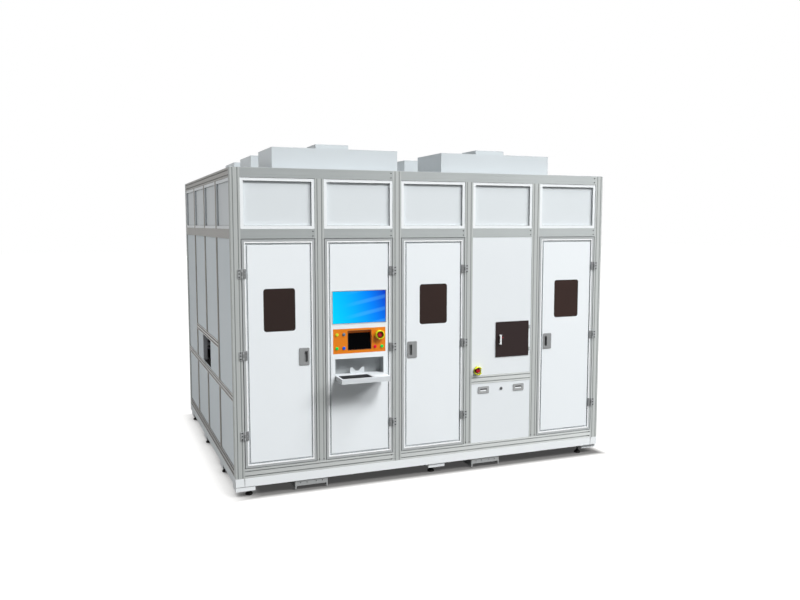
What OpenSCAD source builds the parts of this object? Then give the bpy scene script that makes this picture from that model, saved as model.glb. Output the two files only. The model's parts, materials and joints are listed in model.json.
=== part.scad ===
// Laser drilling machine: a walk-in enclosure of slotted aluminium profile on a welded steel base,
// with hinged doors, an operator console, roof fan filter units and a granite drilling bed inside.
// Origin: centre of the footprint on the floor. X runs to the right, Y into the machine, Z up.

/* [Enclosure] */
// Overall width of the profile frame
frame_w = 3660; // [3200:10:4200]
// Overall depth of the profile frame
frame_d = 3100; // [2900:10:3600]
// Height of the profile frame above the steel base
frame_h = 2625; // [2600:5:2900]
// Side of the square posts and height of the beams
profile = 80; // [76:1:84]
// Underside of the mid beams above the underside of the base
mid_beam_z = 2113; // [2000:1:2150]

/* [Base] */
// Floor to the underside of the base
floor_gap = 88; // [80:1:130]
// Height and width of the base tubes
base_tube = 75; // [60:1:80]
// Side of the square foot blocks
foot_block_w = 165; // [140:1:200]
// Height of the foot blocks
foot_block_h = 36; // [20:1:45]
// Diameter of the levelling foot pads
foot_pad_d = 64; // [50:1:90]
// Diameter of the levelling foot studs
foot_stud_d = 16; // [12:1:20]
// Height of the levelling foot pads
foot_pad_h = 34; // [24:1:38]
// Width of a lifting channel
channel_w = 295; // [240:5:340]
// Depth of a lifting channel below the base
channel_h = 78; // [50:1:79]
// Wall of a lifting channel
channel_wall = 12; // [8:1:16]
// Height of the lifting channel's end plates
channel_end_h = 50; // [25:1:54]

/* [Slotted profile] */
// Width of the slot mouth
slot_mouth = 8; // [6:0.5:10]
// Thickness of the lips beside the slot mouth
slot_lip = 4.5; // [3:0.5:6]
// Width of the slot under its lips
slot_cavity = 20; // [16:0.5:22]
// Width of the slot's floor
slot_floor = 13; // [10:0.5:14]
// Depth of the slot
slot_depth = 12; // [9:0.5:13]
// Side of the profile's hollow core
core_w = 22; // [14:1:26]
// Width of the side mullions
mullion_w = 40; // [36:1:50]
// Height of the side rails
rail_h = 60; // [50:1:70]
// Underside of the long side rail above the underside of the base
low_rail_z = 730; // [700:5:760]
// Underside of the short side rail above the underside of the base
short_rail_z = 1085; // [1060:5:1120]
// Underside of the fourth bay's crossbar above the underside of the base
crossbar_z = 725; // [700:5:760]

/* [Doors] */
// Gap round a door leaf
door_gap = 6; // [5:0.5:12]
// Width of the leaf's aluminium edge frame
leaf_edge = 20; // [14:1:22]
// Depth of the leaf's edge frame
leaf_depth = 30; // [26:1:40]
// Width of the leaf panel's raised rim
rim_w = 10; // [8:1:14]
// Width of the groove inside the rim
groove_w = 15; // [8:1:16]
// Depth of the groove inside the rim
groove_depth = 12; // [6:1:14]
// How far the leaf panel's field lies behind its rim
field_step = 2; // [1:0.5:4]
// Thickness of sheet metal
sheet = 2; // [1.5:0.5:3]
// Width of a door window
window_w = 274; // [220:2:300]
// Height of a door window
window_h = 366; // [300:2:420]
// Corner radius of a door window
window_r = 24; // [12:1:40]
// Centre of the door windows above the underside of the base
window_z = 1507; // [1450:1:1550]
// Width of a door's recessed handle
handle_w = 92; // [80:1:100]
// Height of a door's recessed handle
handle_h = 150; // [130:1:170]
// Centre of the door handles above the underside of the base
handle_z = 1094; // [1050:1:1130]
// Centre of a door handle from the leaf's free edge
handle_inset = 101; // [94:1:112]
// Height of a hinge
hinge_h = 75; // [60:1:90]
// Width of one hinge leaf from the pin's axis
hinge_leaf = 34; // [30:1:38]
// Radius of the hinge knuckle
knuckle_r = 7; // [6:0.5:9]
// Radius of the hinge pin
hinge_pin_r = 2.5; // [2:0.1:3]
// Radial clearance between a hinge pin and the moving knuckle
pin_clearance = 0.05; // [0.02:0.01:0.1]
// Centre of the lowest hinges above the underside of the base
hinge_low_z = 444; // [400:1:480]
// Step from one hinge to the next above it
hinge_step = 689; // [660:1:700]

/* [Operator console] */
// Door leaf's edge to the monitor's visible screen
screen_margin = 63; // [60:1:78]
// Height of the monitor's visible screen
screen_h = 288; // [260:2:300]
// Centre of the screen above the underside of the base
screen_z = 1506; // [1500:1:1515]
// Door leaf's edge to the orange control fascia
fascia_margin = 67; // [62:1:75]
// Height of the orange control fascia
fascia_h = 220; // [214:2:226]
// Centre of the fascia above the underside of the base
fascia_z = 1207; // [1200:1:1212]
// Fascia's edge to the touch panel's opening
touch_margin = 138; // [135:1:145]
// Height of the touch panel's opening in the fascia
touch_h = 168; // [150:2:176]
// How far the touch panel's upper edge leans back
touch_lean = 34; // [20:1:40]
// Diameter of the push buttons
button_d = 24; // [20:1:28]
// How far a push button stands out of the fascia
button_out = 8; // [6:0.5:12]
// Travel of a push button
button_travel = 4; // [3:0.5:5]
// Diameter of the emergency stop's mushroom head
estop_d = 40; // [34:1:44]
// Travel of the emergency stop
estop_travel = 5; // [4:0.5:7]
// Outer diameter of the emergency stop's guard
guard_d = 80; // [74:1:88]
// Height of the emergency stop's guard
guard_h = 34; // [28:1:40]
// Door leaf's edge to the keyboard niche
niche_margin = 86; // [82:1:97]
// Height of the keyboard niche above the shelf
niche_h = 147; // [130:1:150]
// Depth of the keyboard niche behind the leaf's front
niche_depth = 96; // [80:1:110]
// Top of the keyboard shelf above the underside of the base
shelf_z = 903; // [895:1:908]
// Thickness of the keyboard shelf
shelf_t = 44; // [36:1:48]
// How far the keyboard shelf stands out of the door
shelf_reach = 180; // [150:1:200]

/* [Fourth bay] */
// Width of the tinted hatch
hatch_w = 356; // [320:2:370]
// Height of the tinted hatch
hatch_h = 336; // [300:2:360]
// Centre of the hatch above the underside of the base
hatch_z = 1139; // [1120:1:1160]
// Edge of the hatch from the right-hand post
hatch_inset = 26; // [24:1:34]
// Width of a recessed pull in the service panel
pull_w = 116; // [100:1:130]
// Height of a recessed pull in the service panel
pull_h = 66; // [58:1:76]
// Centre of the pulls above the underside of the base
pull_z = 662; // [640:1:680]
// Diameter of the service panel's lock
lock_d = 26; // [20:1:30]

/* [Roof] */
// Width of a fan filter unit
unit_w = 1180; // [1100:5:1250]
// Depth of a fan filter unit
unit_d = 575; // [550:5:620]
// Height of a fan filter unit above the roof sheet
unit_h = 204; // [150:2:240]
// Distance between the two columns of fan filter units
unit_pitch_x = 1630; // [1560:5:1700]
// Distance from one row of fan filter units to the next
unit_pitch_y = 930; // [900:5:980]
// Thickness of the roof sheet
roof_t = 3; // [2:0.5:5]
// Side of a fan filter unit's square air inlet
inlet_w = 310; // [260:5:360]
// Height of a fan filter unit's air inlet
inlet_h = 50; // [35:1:70]

/* [Drilling bed] */
// Length of the granite bed
bed_l = 2200; // [2050:10:2300]
// Width of the granite bed
bed_w = 1300; // [1200:10:1400]
// Thickness of the granite bed
bed_t = 280; // [240:5:320]
// Top of the granite bed above the underside of the base
bed_z = 740; // [720:1:750]
// Thickness of the granite bridge along X
bridge_l = 300; // [260:5:340]
// Clear height under the granite bridge
bridge_clear = 350; // [320:5:380]
// Height of the granite bridge's beam
bridge_h = 340; // [300:5:380]
// Side of the square vacuum chuck
chuck_w = 620; // [560:5:660]
// Travel of the work table
table_travel = 1000; // [800:10:1050]
// Travel of the scan head to either side of the middle
head_travel = 260; // [200:5:280]
// Travel of the scan head's focus slide
focus_travel = 50; // [30:5:60]

/* [Hidden] */
$fn = 48;

// Finishes
ALUMINIUM = [0.73, 0.745, 0.74];
WHITE = [0.91, 0.93, 0.94];
ZINC = [0.60, 0.61, 0.61];
SMOKED = [0.20, 0.14, 0.12, 0.9];
ORANGE = [0.86, 0.47, 0.12];
YELLOW = [0.80, 0.80, 0.10];
RED = [0.80, 0.08, 0.12];
BLACK = [0.06, 0.06, 0.07];
NICHE_GREY = [0.55, 0.57, 0.58];
GRANITE = [0.24, 0.25, 0.26];
STEEL = [0.62, 0.63, 0.65];

// Small clearances
fit = 0.3;
seat = 0.5;
eps = 1;

// Heights above the floor
base_top = floor_gap + base_tube;
frame_top = base_top + frame_h;
mid_bottom = floor_gap + mid_beam_z;
mid_top = mid_bottom + profile;
sill_top = base_top + profile;
header_bottom = frame_top - profile;
low_rail_bottom = floor_gap + low_rail_z;
short_rail_bottom = floor_gap + short_rail_z;
crossbar_bottom = floor_gap + crossbar_z;

// Bays across the front and back, and columns along the sides
bay_count = 5;
column_count = 4;
bay_pitch = (frame_w - profile) / bay_count;
bay_clear = bay_pitch - profile;
column_pitch = (frame_d - profile) / column_count;
joint_post = 2;
function post_x(i) = i * bay_pitch;
function bay_x(i) = post_x(i) + profile;
function bay_middle(i) = bay_x(i) + bay_clear / 2;
function mullion_y(i) = profile / 2 + i * column_pitch - mullion_w / 2;
function column_y(i) = i == 0 ? profile : mullion_y(i) + mullion_w;
function column_end(i) = i == column_count - 1 ? frame_d - profile : mullion_y(i + 1);

// Door leaves
leaf_w = bay_clear - 2 * door_gap;
leaf_z = sill_top + door_gap;
leaf_h = mid_bottom - door_gap - leaf_z;
panel_w = leaf_w - 2 * leaf_edge - 2 * fit;
panel_h = leaf_h - 2 * leaf_edge - 2 * fit;
panel_depth = leaf_depth - 6;
field_inset = rim_w + groove_w;
hinge_axis_y = -knuckle_r;
hinge_heights = [for (i = [0:2]) floor_gap + hinge_low_z + i * hinge_step];

module at_corner() {
    translate([-frame_w / 2, -(frame_d - shelf_reach) / 2, 0])
        children();
}

// ---------- General shapes ----------

// Plane figure in X and Z, made into a plate from depth y0 to depth y1
module plate(y0, y1) {
    translate([0, y1, 0])
        rotate([90, 0, 0])
            linear_extrude(y1 - y0)
                children();
}

module rounded(w, h, r) {
    translate([-w / 2 + r, -h / 2])
        square([w - 2 * r, h]);
    translate([-w / 2, -h / 2 + r])
        square([w, h - 2 * r]);
    for (x = [-1, 1], z = [-1, 1])
        translate([x * (w / 2 - r), z * (h / 2 - r)])
            circle(r);
}

module ring(w, h, band) {
    difference() {
        square([w, h]);
        translate([band, band])
            square([w - 2 * band, h - 2 * band]);
    }
}

// Cylinder along Y, from depth y0 to depth y1
module rod_y(r, y0, y1) {
    translate([0, y1, 0])
        rotate([90, 0, 0])
            cylinder(r = r, h = y1 - y0);
}

// ---------- Slotted aluminium profile ----------

function slot_centres(side) = side >= 70 ? [side / 4, side * 3 / 4] : [side / 2];

// One slot, walked along a side: distance along the side and depth below it
function slot_walk(c) = [
    [c - slot_mouth / 2, 0], [c - slot_mouth / 2, slot_lip], [c - slot_cavity / 2, slot_lip],
    [c - slot_floor / 2, slot_depth], [c + slot_floor / 2, slot_depth],
    [c + slot_cavity / 2, slot_lip], [c + slot_mouth / 2, slot_lip], [c + slot_mouth / 2, 0]
];

function slotted_side(start, along, inward, side) = concat(
    [start],
    [for (c = slot_centres(side), p = slot_walk(c)) start + along * p[0] + inward * p[1]]
);

function profile_outline(w, h) = concat(
    slotted_side([0, 0], [1, 0], [0, 1], w),
    slotted_side([w, 0], [0, 1], [-1, 0], h),
    slotted_side([w, h], [-1, 0], [0, -1], w),
    slotted_side([0, h], [0, -1], [1, 0], h)
);

module profile_section(w, h) {
    difference() {
        polygon(profile_outline(w, h));
        translate([w / 2, h / 2])
            square(min([core_w, w - 2 * slot_depth - 8, h - 2 * slot_depth - 8]), center = true);
    }
}

// Upright of section w by d that starts at the given point
module upright(x, y, z, w, d, length) {
    translate([x, y, z])
        linear_extrude(length)
            profile_section(w, d);
}

// Beam along X of section d by h
module beam_x(x, y, z, d, h, length) {
    translate([x, y, z])
        rotate([90, 0, 90])
            linear_extrude(length)
                profile_section(d, h);
}

// Beam along Y of section w by h
module beam_y(x, y, z, w, h, length) {
    translate([x, y, z + h])
        rotate([-90, 0, 0])
            linear_extrude(length)
                profile_section(w, h);
}

// ---------- Base ----------

channel_x = [664, 2388];
front_feet_x = [122, 1840, frame_w - 182];
side_feet_y = [770, 1840, frame_d - 200];
foot_inset = 70;
block_depth = 140;
half_block = foot_block_w / 2;

foot_places = concat(
    [for (x = front_feet_x) [x, foot_inset]],
    [for (y = side_feet_y, x = [foot_inset - 33, frame_w - foot_inset + 33]) [x, y]],
    [[front_feet_x[1], side_feet_y[1]], [front_feet_x[1], side_feet_y[2]]]
);
front_block_x = [0, 1789, frame_w - foot_block_w];
front_block_y = [0, 10, 20];
seam_w = 5;
seam_depth = 4;

module base_tube_x(y) {
    translate([0, y, floor_gap])
        cube([frame_w, base_tube, base_tube]);
}

module base_tube_y(x) {
    translate([x, 0, floor_gap])
        cube([base_tube, frame_d, base_tube]);
}

module foot_block(x, y, w, d) {
    translate([x, y, floor_gap - foot_block_h])
        cube([w, d, foot_block_h + eps]);
}

module base_frame() {
    color(WHITE) at_corner() {
        difference() {
            union() {
                for (y = [0, cabinet_y + base_tube, stand_y[0], stand_y[1], frame_d - base_tube])
                    base_tube_x(y);
                base_tube_y(0);
                base_tube_y(frame_w - base_tube);
                base_tube_y(front_feet_x[1] - base_tube / 2);
                for (i = [0:2])
                    foot_block(front_block_x[i], front_block_y[i], foot_block_w, block_depth);
                for (y = side_feet_y, x = [0, frame_w - block_depth])
                    foot_block(x, y - half_block, block_depth, foot_block_w);
                for (y = [side_feet_y[1], side_feet_y[2]])
                    foot_block(front_feet_x[1] - half_block, y - half_block, foot_block_w, foot_block_w);
            }
            for (p = foot_places)
                translate([p[0], p[1], floor_gap - foot_block_h - eps])
                    cylinder(d = foot_stud_d + 2 * fit, h = foot_block_h + base_tube / 2);
            for (x = [base_tube, frame_w - base_tube])
                translate([x - seam_w / 2, -eps, floor_gap])
                    cube([seam_w, eps + seam_depth, base_tube + eps]);
            translate([-eps, -eps, floor_gap - seam_w / 2])
                cube([foot_block_w + 2 * eps, eps + seam_depth, seam_w]);
        }
    }
}

// Inverted channel along the machine's depth, closed by drilled plates at both ends
module fork_channel() {
    span = frame_d - 20;
    hole_r = 5.5;
    hole_places = [-99, -42, 42, 99];
    inner_w = channel_w - 2 * channel_wall;
    pocket_h = channel_end_h - channel_wall;
    translate([0, (frame_d - span) / 2, 0])
        difference() {
            translate([-channel_w / 2, 0, floor_gap - channel_h])
                cube([channel_w, span, channel_h]);
            translate([-inner_w / 2, -eps, floor_gap - channel_h - eps])
                cube([inner_w, span + 2 * eps, channel_h - channel_end_h + eps]);
            translate([-inner_w / 2, channel_wall, floor_gap - channel_end_h - eps])
                cube([inner_w, span - 2 * channel_wall, pocket_h + eps]);
            for (x = hole_places)
                translate([x, 0, floor_gap - channel_end_h / 2])
                    rod_y(hole_r, -eps, channel_wall + eps);
        }
}

module fork_channels() {
    color(ZINC) at_corner()
        for (x = channel_x)
            translate([x, 0, 0])
                fork_channel();
}

// Rubber-clad pad on a stud, with a lock nut under the surface that it carries
module levelling_foot(carried) {
    stud_top = floor_gap - foot_block_h + base_tube / 3;
    pad_r = foot_pad_d / 2;
    stud_r = foot_stud_d / 2;
    nut_h = 14;
    nut_d = 34;
    rotate_extrude()
        polygon([
            [0, 0], [pad_r - 2, 0], [pad_r, 3], [pad_r, foot_pad_h * 0.3], [pad_r * 0.88, foot_pad_h * 0.48],
            [pad_r * 0.5, foot_pad_h * 0.8], [stud_r * 1.4, foot_pad_h], [stud_r, foot_pad_h],
            [stud_r, stud_top], [0, stud_top]
        ]);
    translate([0, 0, carried - nut_h])
        cylinder(d = nut_d, h = nut_h - fit, $fn = 6);
}

module levelling_feet() {
    color(BLACK) at_corner()
        for (p = foot_places)
            translate([p[0], p[1], 0])
                levelling_foot(p == foot_places[2] ? floor_gap : floor_gap - foot_block_h);
}

// ---------- Profile frame ----------

module posts() {
    color(ALUMINIUM) at_corner()
        for (i = [0:bay_count], y = [0, frame_d - profile]) {
            full = i == 0 || i == joint_post || i == bay_count;
            bottom = full ? base_top : sill_top;
            top = full ? frame_top : header_bottom;
            upright(post_x(i), y, bottom, profile, profile, top - bottom);
        }
}

module side_mullions() {
    color(ALUMINIUM) at_corner() {
        for (x = [0, frame_w - profile], i = [1:column_count - 1]) {
            upright(x, mullion_y(i), sill_top, profile, mullion_w, low_rail_bottom - sill_top);
            upright(x, mullion_y(i), mid_top, profile, mullion_w, header_bottom - mid_top);
        }
        for (i = [1:column_count - 1]) {
            start = i == 2 ? short_rail_bottom + rail_h : low_rail_bottom + rail_h;
            upright(0, mullion_y(i), start, profile, mullion_w, mid_bottom - start);
            upright(frame_w - profile, mullion_y(i), low_rail_bottom + rail_h, profile, mullion_w,
                mid_bottom - low_rail_bottom - rail_h);
        }
    }
}

unit_rows = [for (i = [-1:1]) frame_d / 2 + i * unit_pitch_y];
unit_columns = [for (s = [-1, 1]) frame_w / 2 + s * unit_pitch_x / 2];
filter_w = unit_w - 40;
filter_d = unit_d - 40;
roof_bar_w = 40;

module long_beams() {
    first_len = post_x(joint_post) - profile;
    second_x = post_x(joint_post) + profile;
    second_len = frame_w - profile - second_x;
    color(ALUMINIUM) at_corner() {
        for (y = [0, frame_d - profile]) {
            for (z = [base_top, header_bottom]) {
                beam_x(profile, y, z, profile, profile, first_len);
                beam_x(second_x, y, z, profile, profile, second_len);
            }
            for (i = [0:bay_count - 1])
                beam_x(bay_x(i), y, mid_bottom, profile, profile, bay_clear);
        }
        beam_x(bay_x(3), 0, crossbar_bottom, profile, profile, bay_clear);
        for (y = unit_rows, side = [0, 1]) {
            inner = side == 0 ? -filter_d / 2 - fit - roof_bar_w : filter_d / 2 + fit;
            beam_x(profile, y + inner, header_bottom, roof_bar_w, profile, frame_w - 2 * profile);
        }
    }
}

module side_beams() {
    span = frame_d - 2 * profile;
    color(ALUMINIUM) at_corner() {
        for (x = [0, frame_w - profile]) {
            for (z = [base_top, mid_bottom, header_bottom])
                beam_y(x, profile, z, profile, profile, span);
            beam_y(x, profile, low_rail_bottom, profile, rail_h, span);
        }
        beam_y(0, column_y(1), short_rail_bottom, profile, rail_h, column_end(2) - column_y(1));
    }
}

// ---------- Fixed panels ----------

// Sheet metal panel with a raised border and a sunk field, open at the back
module framed_panel(w, h, border, sunk) {
    difference() {
        plate(0, sunk + sheet)
            square([w, h]);
        plate(-eps, sunk)
            translate([border, border])
                square([w - 2 * border, h - 2 * border]);
        plate(sheet, sunk + sheet + eps)
            difference() {
                translate([sheet, sheet])
                    square([w - 2 * sheet, h - 2 * sheet]);
                translate([border - sheet, border - sheet])
                    square([w - 2 * (border - sheet), h - 2 * (border - sheet)]);
            }
    }
}

// Folded tray: a front sheet with returns all round, open at the back
module folded_panel(w, h, depth) {
    difference() {
        plate(0, depth)
            square([w, h]);
        plate(sheet, depth + eps)
            translate([sheet, sheet])
                square([w - 2 * sheet, h - 2 * sheet]);
    }
}

top_border = 27;
top_sunk = 16;
panel_set = 3;
infill_set = 9;
infill_depth = 20;

// Puts a panel drawn in X and Z onto the left side (x = 0) or the right side, from y0 to y1,
// with its face set back behind the profile's face
module on_side(right, y0, y1, set) {
    if (right)
        translate([frame_w - set, y0 + seat, 0])
            rotate([0, 0, 90])
                children();
    else
        translate([set, y1 - seat, 0])
            rotate([0, 0, -90])
                children();
}

// Turns a panel drawn in X and Z to face the back, in one of the bays
module on_back(bay) {
    translate([bay_x(bay) + bay_clear - seat, frame_d - panel_set, 0])
        rotate([0, 0, 180])
            children();
}

module top_panel(clear_w) {
    translate([0, 0, mid_top + seat])
        framed_panel(clear_w - 2 * seat, header_bottom - mid_top - 2 * seat, top_border, top_sunk);
}

module top_panels() {
    color(WHITE) at_corner() {
        for (i = [0:bay_count - 1]) {
            translate([bay_x(i) + seat, panel_set, 0])
                top_panel(bay_clear);
            on_back(i)
                top_panel(bay_clear);
        }
        for (right = [false, true], i = [0:column_count - 1])
            on_side(right, column_y(i), column_end(i), panel_set)
                top_panel(column_end(i) - column_y(i));
    }
}

module side_infill(right, y0, y1, z0, z1) {
    on_side(right, y0, y1, infill_set)
        translate([0, 0, z0 + seat])
            folded_panel(y1 - y0 - 2 * seat, z1 - z0 - 2 * seat, infill_depth);
}

load_window_w = 530;
load_window_y = column_y(1) + 560;
load_window_margin = 10;
load_jamb_depth = 40;

// Panel between the two side rails, with the opening through which the table is loaded and a
// jamb turned in along the opening's rear edge
module load_window_panel() {
    z0 = low_rail_bottom + rail_h;
    z1 = short_rail_bottom;
    opening_z = z0 + load_window_margin;
    opening_h = z1 - z0 - 2 * load_window_margin;
    difference() {
        side_infill(false, column_y(1), column_end(2), z0, z1);
        translate([-eps, load_window_y, opening_z])
            cube([infill_depth * 2, load_window_w, opening_h]);
    }
    translate([infill_set, load_window_y + load_window_w, opening_z])
        cube([load_jamb_depth, sheet, opening_h]);
}

module wall_panels() {
    above_rail = low_rail_bottom + rail_h;
    color(WHITE) at_corner() {
        for (i = [0:bay_count - 1])
            on_back(i)
                translate([0, 0, sill_top + seat])
                    folded_panel(bay_clear - 2 * seat, mid_bottom - sill_top - 2 * seat, infill_depth);
        for (right = [false, true], i = [0:column_count - 1]) {
            over_window = !right && (i == 1 || i == 2);
            upper_start = over_window ? short_rail_bottom + rail_h : above_rail;
            side_infill(right, column_y(i), column_end(i), sill_top, low_rail_bottom);
            side_infill(right, column_y(i), column_end(i), upper_start, mid_bottom);
        }
        load_window_panel();
    }
}

// ---------- Roof ----------

module roof_sheet() {
    color(WHITE) at_corner()
        translate([0, 0, frame_top])
            linear_extrude(roof_t)
                difference() {
                    square([frame_w, frame_d]);
                    for (x = unit_columns, y = unit_rows)
                        translate([x, y])
                            square([filter_w + 2 * fit, filter_d + 2 * fit], center = true);
                }
}

module fan_filter_unit() {
    filter_h = 66;
    fold = 12;
    translate([0, 0, unit_h / 2])
        cube([unit_w, unit_d, unit_h], center = true);
    translate([0, 0, -(filter_h + roof_t) / 2])
        cube([filter_w, filter_d, filter_h + roof_t], center = true);
    translate([0, 0, unit_h])
        difference() {
            linear_extrude(inlet_h)
                square(inlet_w, center = true);
            translate([0, 0, fold])
                linear_extrude(inlet_h)
                    square(inlet_w - 2 * fold, center = true);
        }
}

module fan_filter_units() {
    color(WHITE) at_corner()
        for (x = unit_columns, y = unit_rows)
            translate([x, y, frame_top + roof_t])
                fan_filter_unit();
}

// ---------- Hinges ----------

knuckle_gap = 0.4;
knuckle_side = hinge_h * 0.3;
knuckle_middle = hinge_h - 2 * knuckle_side;
leaf_plate_t = knuckle_r - 1;

module hinge_plate(direction, from) {
    reach = hinge_leaf - from;
    translate([direction > 0 ? from : -hinge_leaf, knuckle_r - leaf_plate_t, 0])
        cube([reach, leaf_plate_t, hinge_h]);
}

module knuckle(direction, z, h) {
    translate([0, 0, z])
        cylinder(r = knuckle_r, h = h);
    translate([direction > 0 ? 0 : -hinge_leaf, knuckle_r - leaf_plate_t, z])
        cube([hinge_leaf, leaf_plate_t, h]);
}

// Half of a hinge that is screwed to a post, with the pin; direction -1 points to the left
module hinge_fixed_half(direction) {
    translate([0, 0, -hinge_h / 2]) {
        hinge_plate(direction, knuckle_r + 1);
        knuckle(direction, 0, knuckle_side - knuckle_gap);
        knuckle(direction, hinge_h - knuckle_side + knuckle_gap, knuckle_side - knuckle_gap);
        cylinder(r = hinge_pin_r, h = hinge_h);
    }
}

// Half of a hinge that is screwed to a leaf
module hinge_moving_half(direction) {
    translate([0, 0, -hinge_h / 2])
        difference() {
            union() {
                hinge_plate(direction, knuckle_r + 1);
                knuckle(direction, knuckle_side, knuckle_middle);
            }
            translate([0, 0, knuckle_side - eps])
                cylinder(r = hinge_pin_r + pin_clearance, h = knuckle_middle + 2 * eps);
        }
}

function hinge_x(bay, side) = side < 0 ? bay_x(bay) + door_gap / 2 : bay_x(bay) + bay_clear - door_gap / 2;

doors = [[0, -1], [1, 1], [2, 1], [4, 1]];

hatch_knuckle_r = 3.5;
hatch_hinge_h = 30;
hatch_x1 = bay_x(3) + bay_clear - hatch_inset;
hatch_x0 = hatch_x1 - hatch_w;
hatch_mid_z = floor_gap + hatch_z;
hatch_t = 6;
hatch_front = field_step - fit - hatch_t;
hatch_axis_x = hatch_x1 + hatch_knuckle_r + fit;
hatch_axis_y = hatch_front + 1;
hatch_hinge_z = [for (s = [-1, 1]) hatch_mid_z + s * hatch_h * 0.32];

// Small butt hinge's fixed part: two outer knuckles on a foot, with the pin
module hatch_hinge_fixed() {
    side = hatch_hinge_h / 3 - fit;
    foot = field_step - hatch_axis_y;
    translate([0, 0, -hatch_hinge_h / 2]) {
        for (z = [0, hatch_hinge_h - side]) {
            translate([0, 0, z])
                cylinder(r = hatch_knuckle_r, h = side);
            translate([0, 0, z])
                cube([hatch_knuckle_r + 8, foot, side]);
        }
        translate([hatch_knuckle_r + 1, foot - 2, 0])
            cube([7, 2, hatch_hinge_h]);
        cylinder(r = 1.2, h = hatch_hinge_h);
    }
}

module fixed_hinge_leaves() {
    color(ZINC) at_corner() {
        for (d = doors, z = hinge_heights)
            translate([hinge_x(d[0], d[1]), hinge_axis_y, z])
                hinge_fixed_half(d[1]);
        for (z = hatch_hinge_z)
            translate([hatch_axis_x, hatch_axis_y, z])
                hatch_hinge_fixed();
    }
}

// ---------- Door leaves ----------

module leaf_frame(bay, side) {
    rebate = 12;
    translate([bay_x(bay) + door_gap, 0, leaf_z]) {
        plate(0, leaf_depth)
            ring(leaf_w, leaf_h, leaf_edge);
        plate(panel_depth + fit, leaf_depth)
            ring(leaf_w, leaf_h, leaf_edge + rebate);
    }
    for (z = hinge_heights)
        translate([hinge_x(bay, side), hinge_axis_y, z])
            hinge_moving_half(-side);
}

// Folded leaf panel: raised rim, groove and a field set back behind the rim
module leaf_panel(bay) {
    translate([bay_x(bay) + door_gap + leaf_edge + fit, 0, leaf_z + leaf_edge + fit])
        difference() {
            plate(0, panel_depth)
                square([panel_w, panel_h]);
            plate(-eps, groove_depth)
                translate([rim_w, rim_w])
                    ring(panel_w - 2 * rim_w, panel_h - 2 * rim_w, groove_w);
            plate(-eps, field_step)
                translate([field_inset, field_inset])
                    square([panel_w - 2 * field_inset, panel_h - 2 * field_inset]);
            plate(field_step + sheet, panel_depth + eps)
                translate([field_inset + sheet, field_inset + sheet])
                    square([panel_w - 2 * (field_inset + sheet), panel_h - 2 * (field_inset + sheet)]);
            children();
        }
}

// Angle frames on the posts and beams, which the leaves close against
module door_stops() {
    lap = 12;
    angle_t = 3;
    angle_depth = 28;
    front = leaf_depth + seat;
    color(ALUMINIUM) at_corner()
        for (d = doors)
            translate([bay_x(d[0]), 0, sill_top]) {
                plate(front, front + angle_t)
                    ring(bay_clear, mid_bottom - sill_top, door_gap + lap);
                plate(front, front + angle_depth)
                    ring(bay_clear, mid_bottom - sill_top, angle_t);
            }
}

function handle_x(bay, side) = side < 0
    ? bay_x(bay) + bay_clear - door_gap - handle_inset
    : bay_x(bay) + door_gap + handle_inset;

handle_cup_margin = 7;
handle_cup_depth = 20;
handle_flange = 4;

// Plane figures are cut out of a leaf panel in enclosure coordinates
module cut_through(bay) {
    translate([-(bay_x(bay) + door_gap + leaf_edge + fit), 0, -(leaf_z + leaf_edge + fit)])
        plate(-50, 50)
            children();
}

module door_panel(bay, side) {
    leaf_panel(bay)
        cut_through(bay) {
            translate([bay_middle(bay), floor_gap + window_z])
                rounded(window_w, window_h, window_r);
            translate([handle_x(bay, side), floor_gap + handle_z])
                square([handle_w - 2 * handle_cup_margin, handle_h - 2 * handle_cup_margin], center = true);
        }
}

// Acrylic pane: the front fills the cut-out, and a wider flange sits behind the sheet
module door_window(bay) {
    pane_flange = 12;
    pane_t = 4;
    translate([bay_middle(bay), 0, floor_gap + window_z]) {
        plate(field_step + 0.5, field_step + sheet + fit + 0.5)
            rounded(window_w - 2 * fit, window_h - 2 * fit, window_r);
        plate(field_step + sheet + fit, field_step + sheet + fit + pane_t)
            rounded(window_w + 2 * pane_flange, window_h + 2 * pane_flange, window_r + pane_flange);
    }
}

// Moulded pull: a flange round a cup, with a finger slot that widens behind the flange
module recessed_pull(w, h, slot_w, slot_h, slot_x, grip) {
    cup_w = w - 2 * handle_cup_margin - 2 * fit;
    cup_h = h - 2 * handle_cup_margin - 2 * fit;
    cup_wall = 3;
    difference() {
        union() {
            plate(-handle_flange, 0)
                rounded(w, h, 8);
            plate(-handle_flange, handle_cup_depth)
                square([cup_w, cup_h], center = true);
        }
        translate([slot_x, 0, 0])
            plate(-handle_flange - eps, handle_cup_depth - cup_wall)
                square([slot_w, slot_h], center = true);
        translate([slot_x - grip / 2, 0, 0])
            plate(cup_wall - handle_flange / 2, handle_cup_depth - cup_wall)
                square([slot_w + abs(grip), slot_h], center = true);
    }
}

handle_slot_w = 28;
handle_slot_h = 94;
handle_slot_shift = 16;
handle_grip = 22;

module door_handle(bay, side) {
    free_side = -side;
    translate([handle_x(bay, side), field_step, floor_gap + handle_z])
        recessed_pull(handle_w, handle_h, handle_slot_w, handle_slot_h,
            free_side * handle_slot_shift, free_side * handle_grip);
}

module door_1_frame() {
    color(ALUMINIUM) at_corner() leaf_frame(0, -1);
}

module door_1_panel() {
    color(WHITE) at_corner() door_panel(0, -1);
}

module door_1_window() {
    color(SMOKED) at_corner() door_window(0);
}

module door_1_handle() {
    color(ZINC) at_corner() door_handle(0, -1);
}

module door_3_frame() {
    color(ALUMINIUM) at_corner() leaf_frame(2, 1);
}

module door_3_panel() {
    color(WHITE) at_corner() door_panel(2, 1);
}

module door_3_window() {
    color(SMOKED) at_corner() door_window(2);
}

module door_3_handle() {
    color(ZINC) at_corner() door_handle(2, 1);
}

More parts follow.
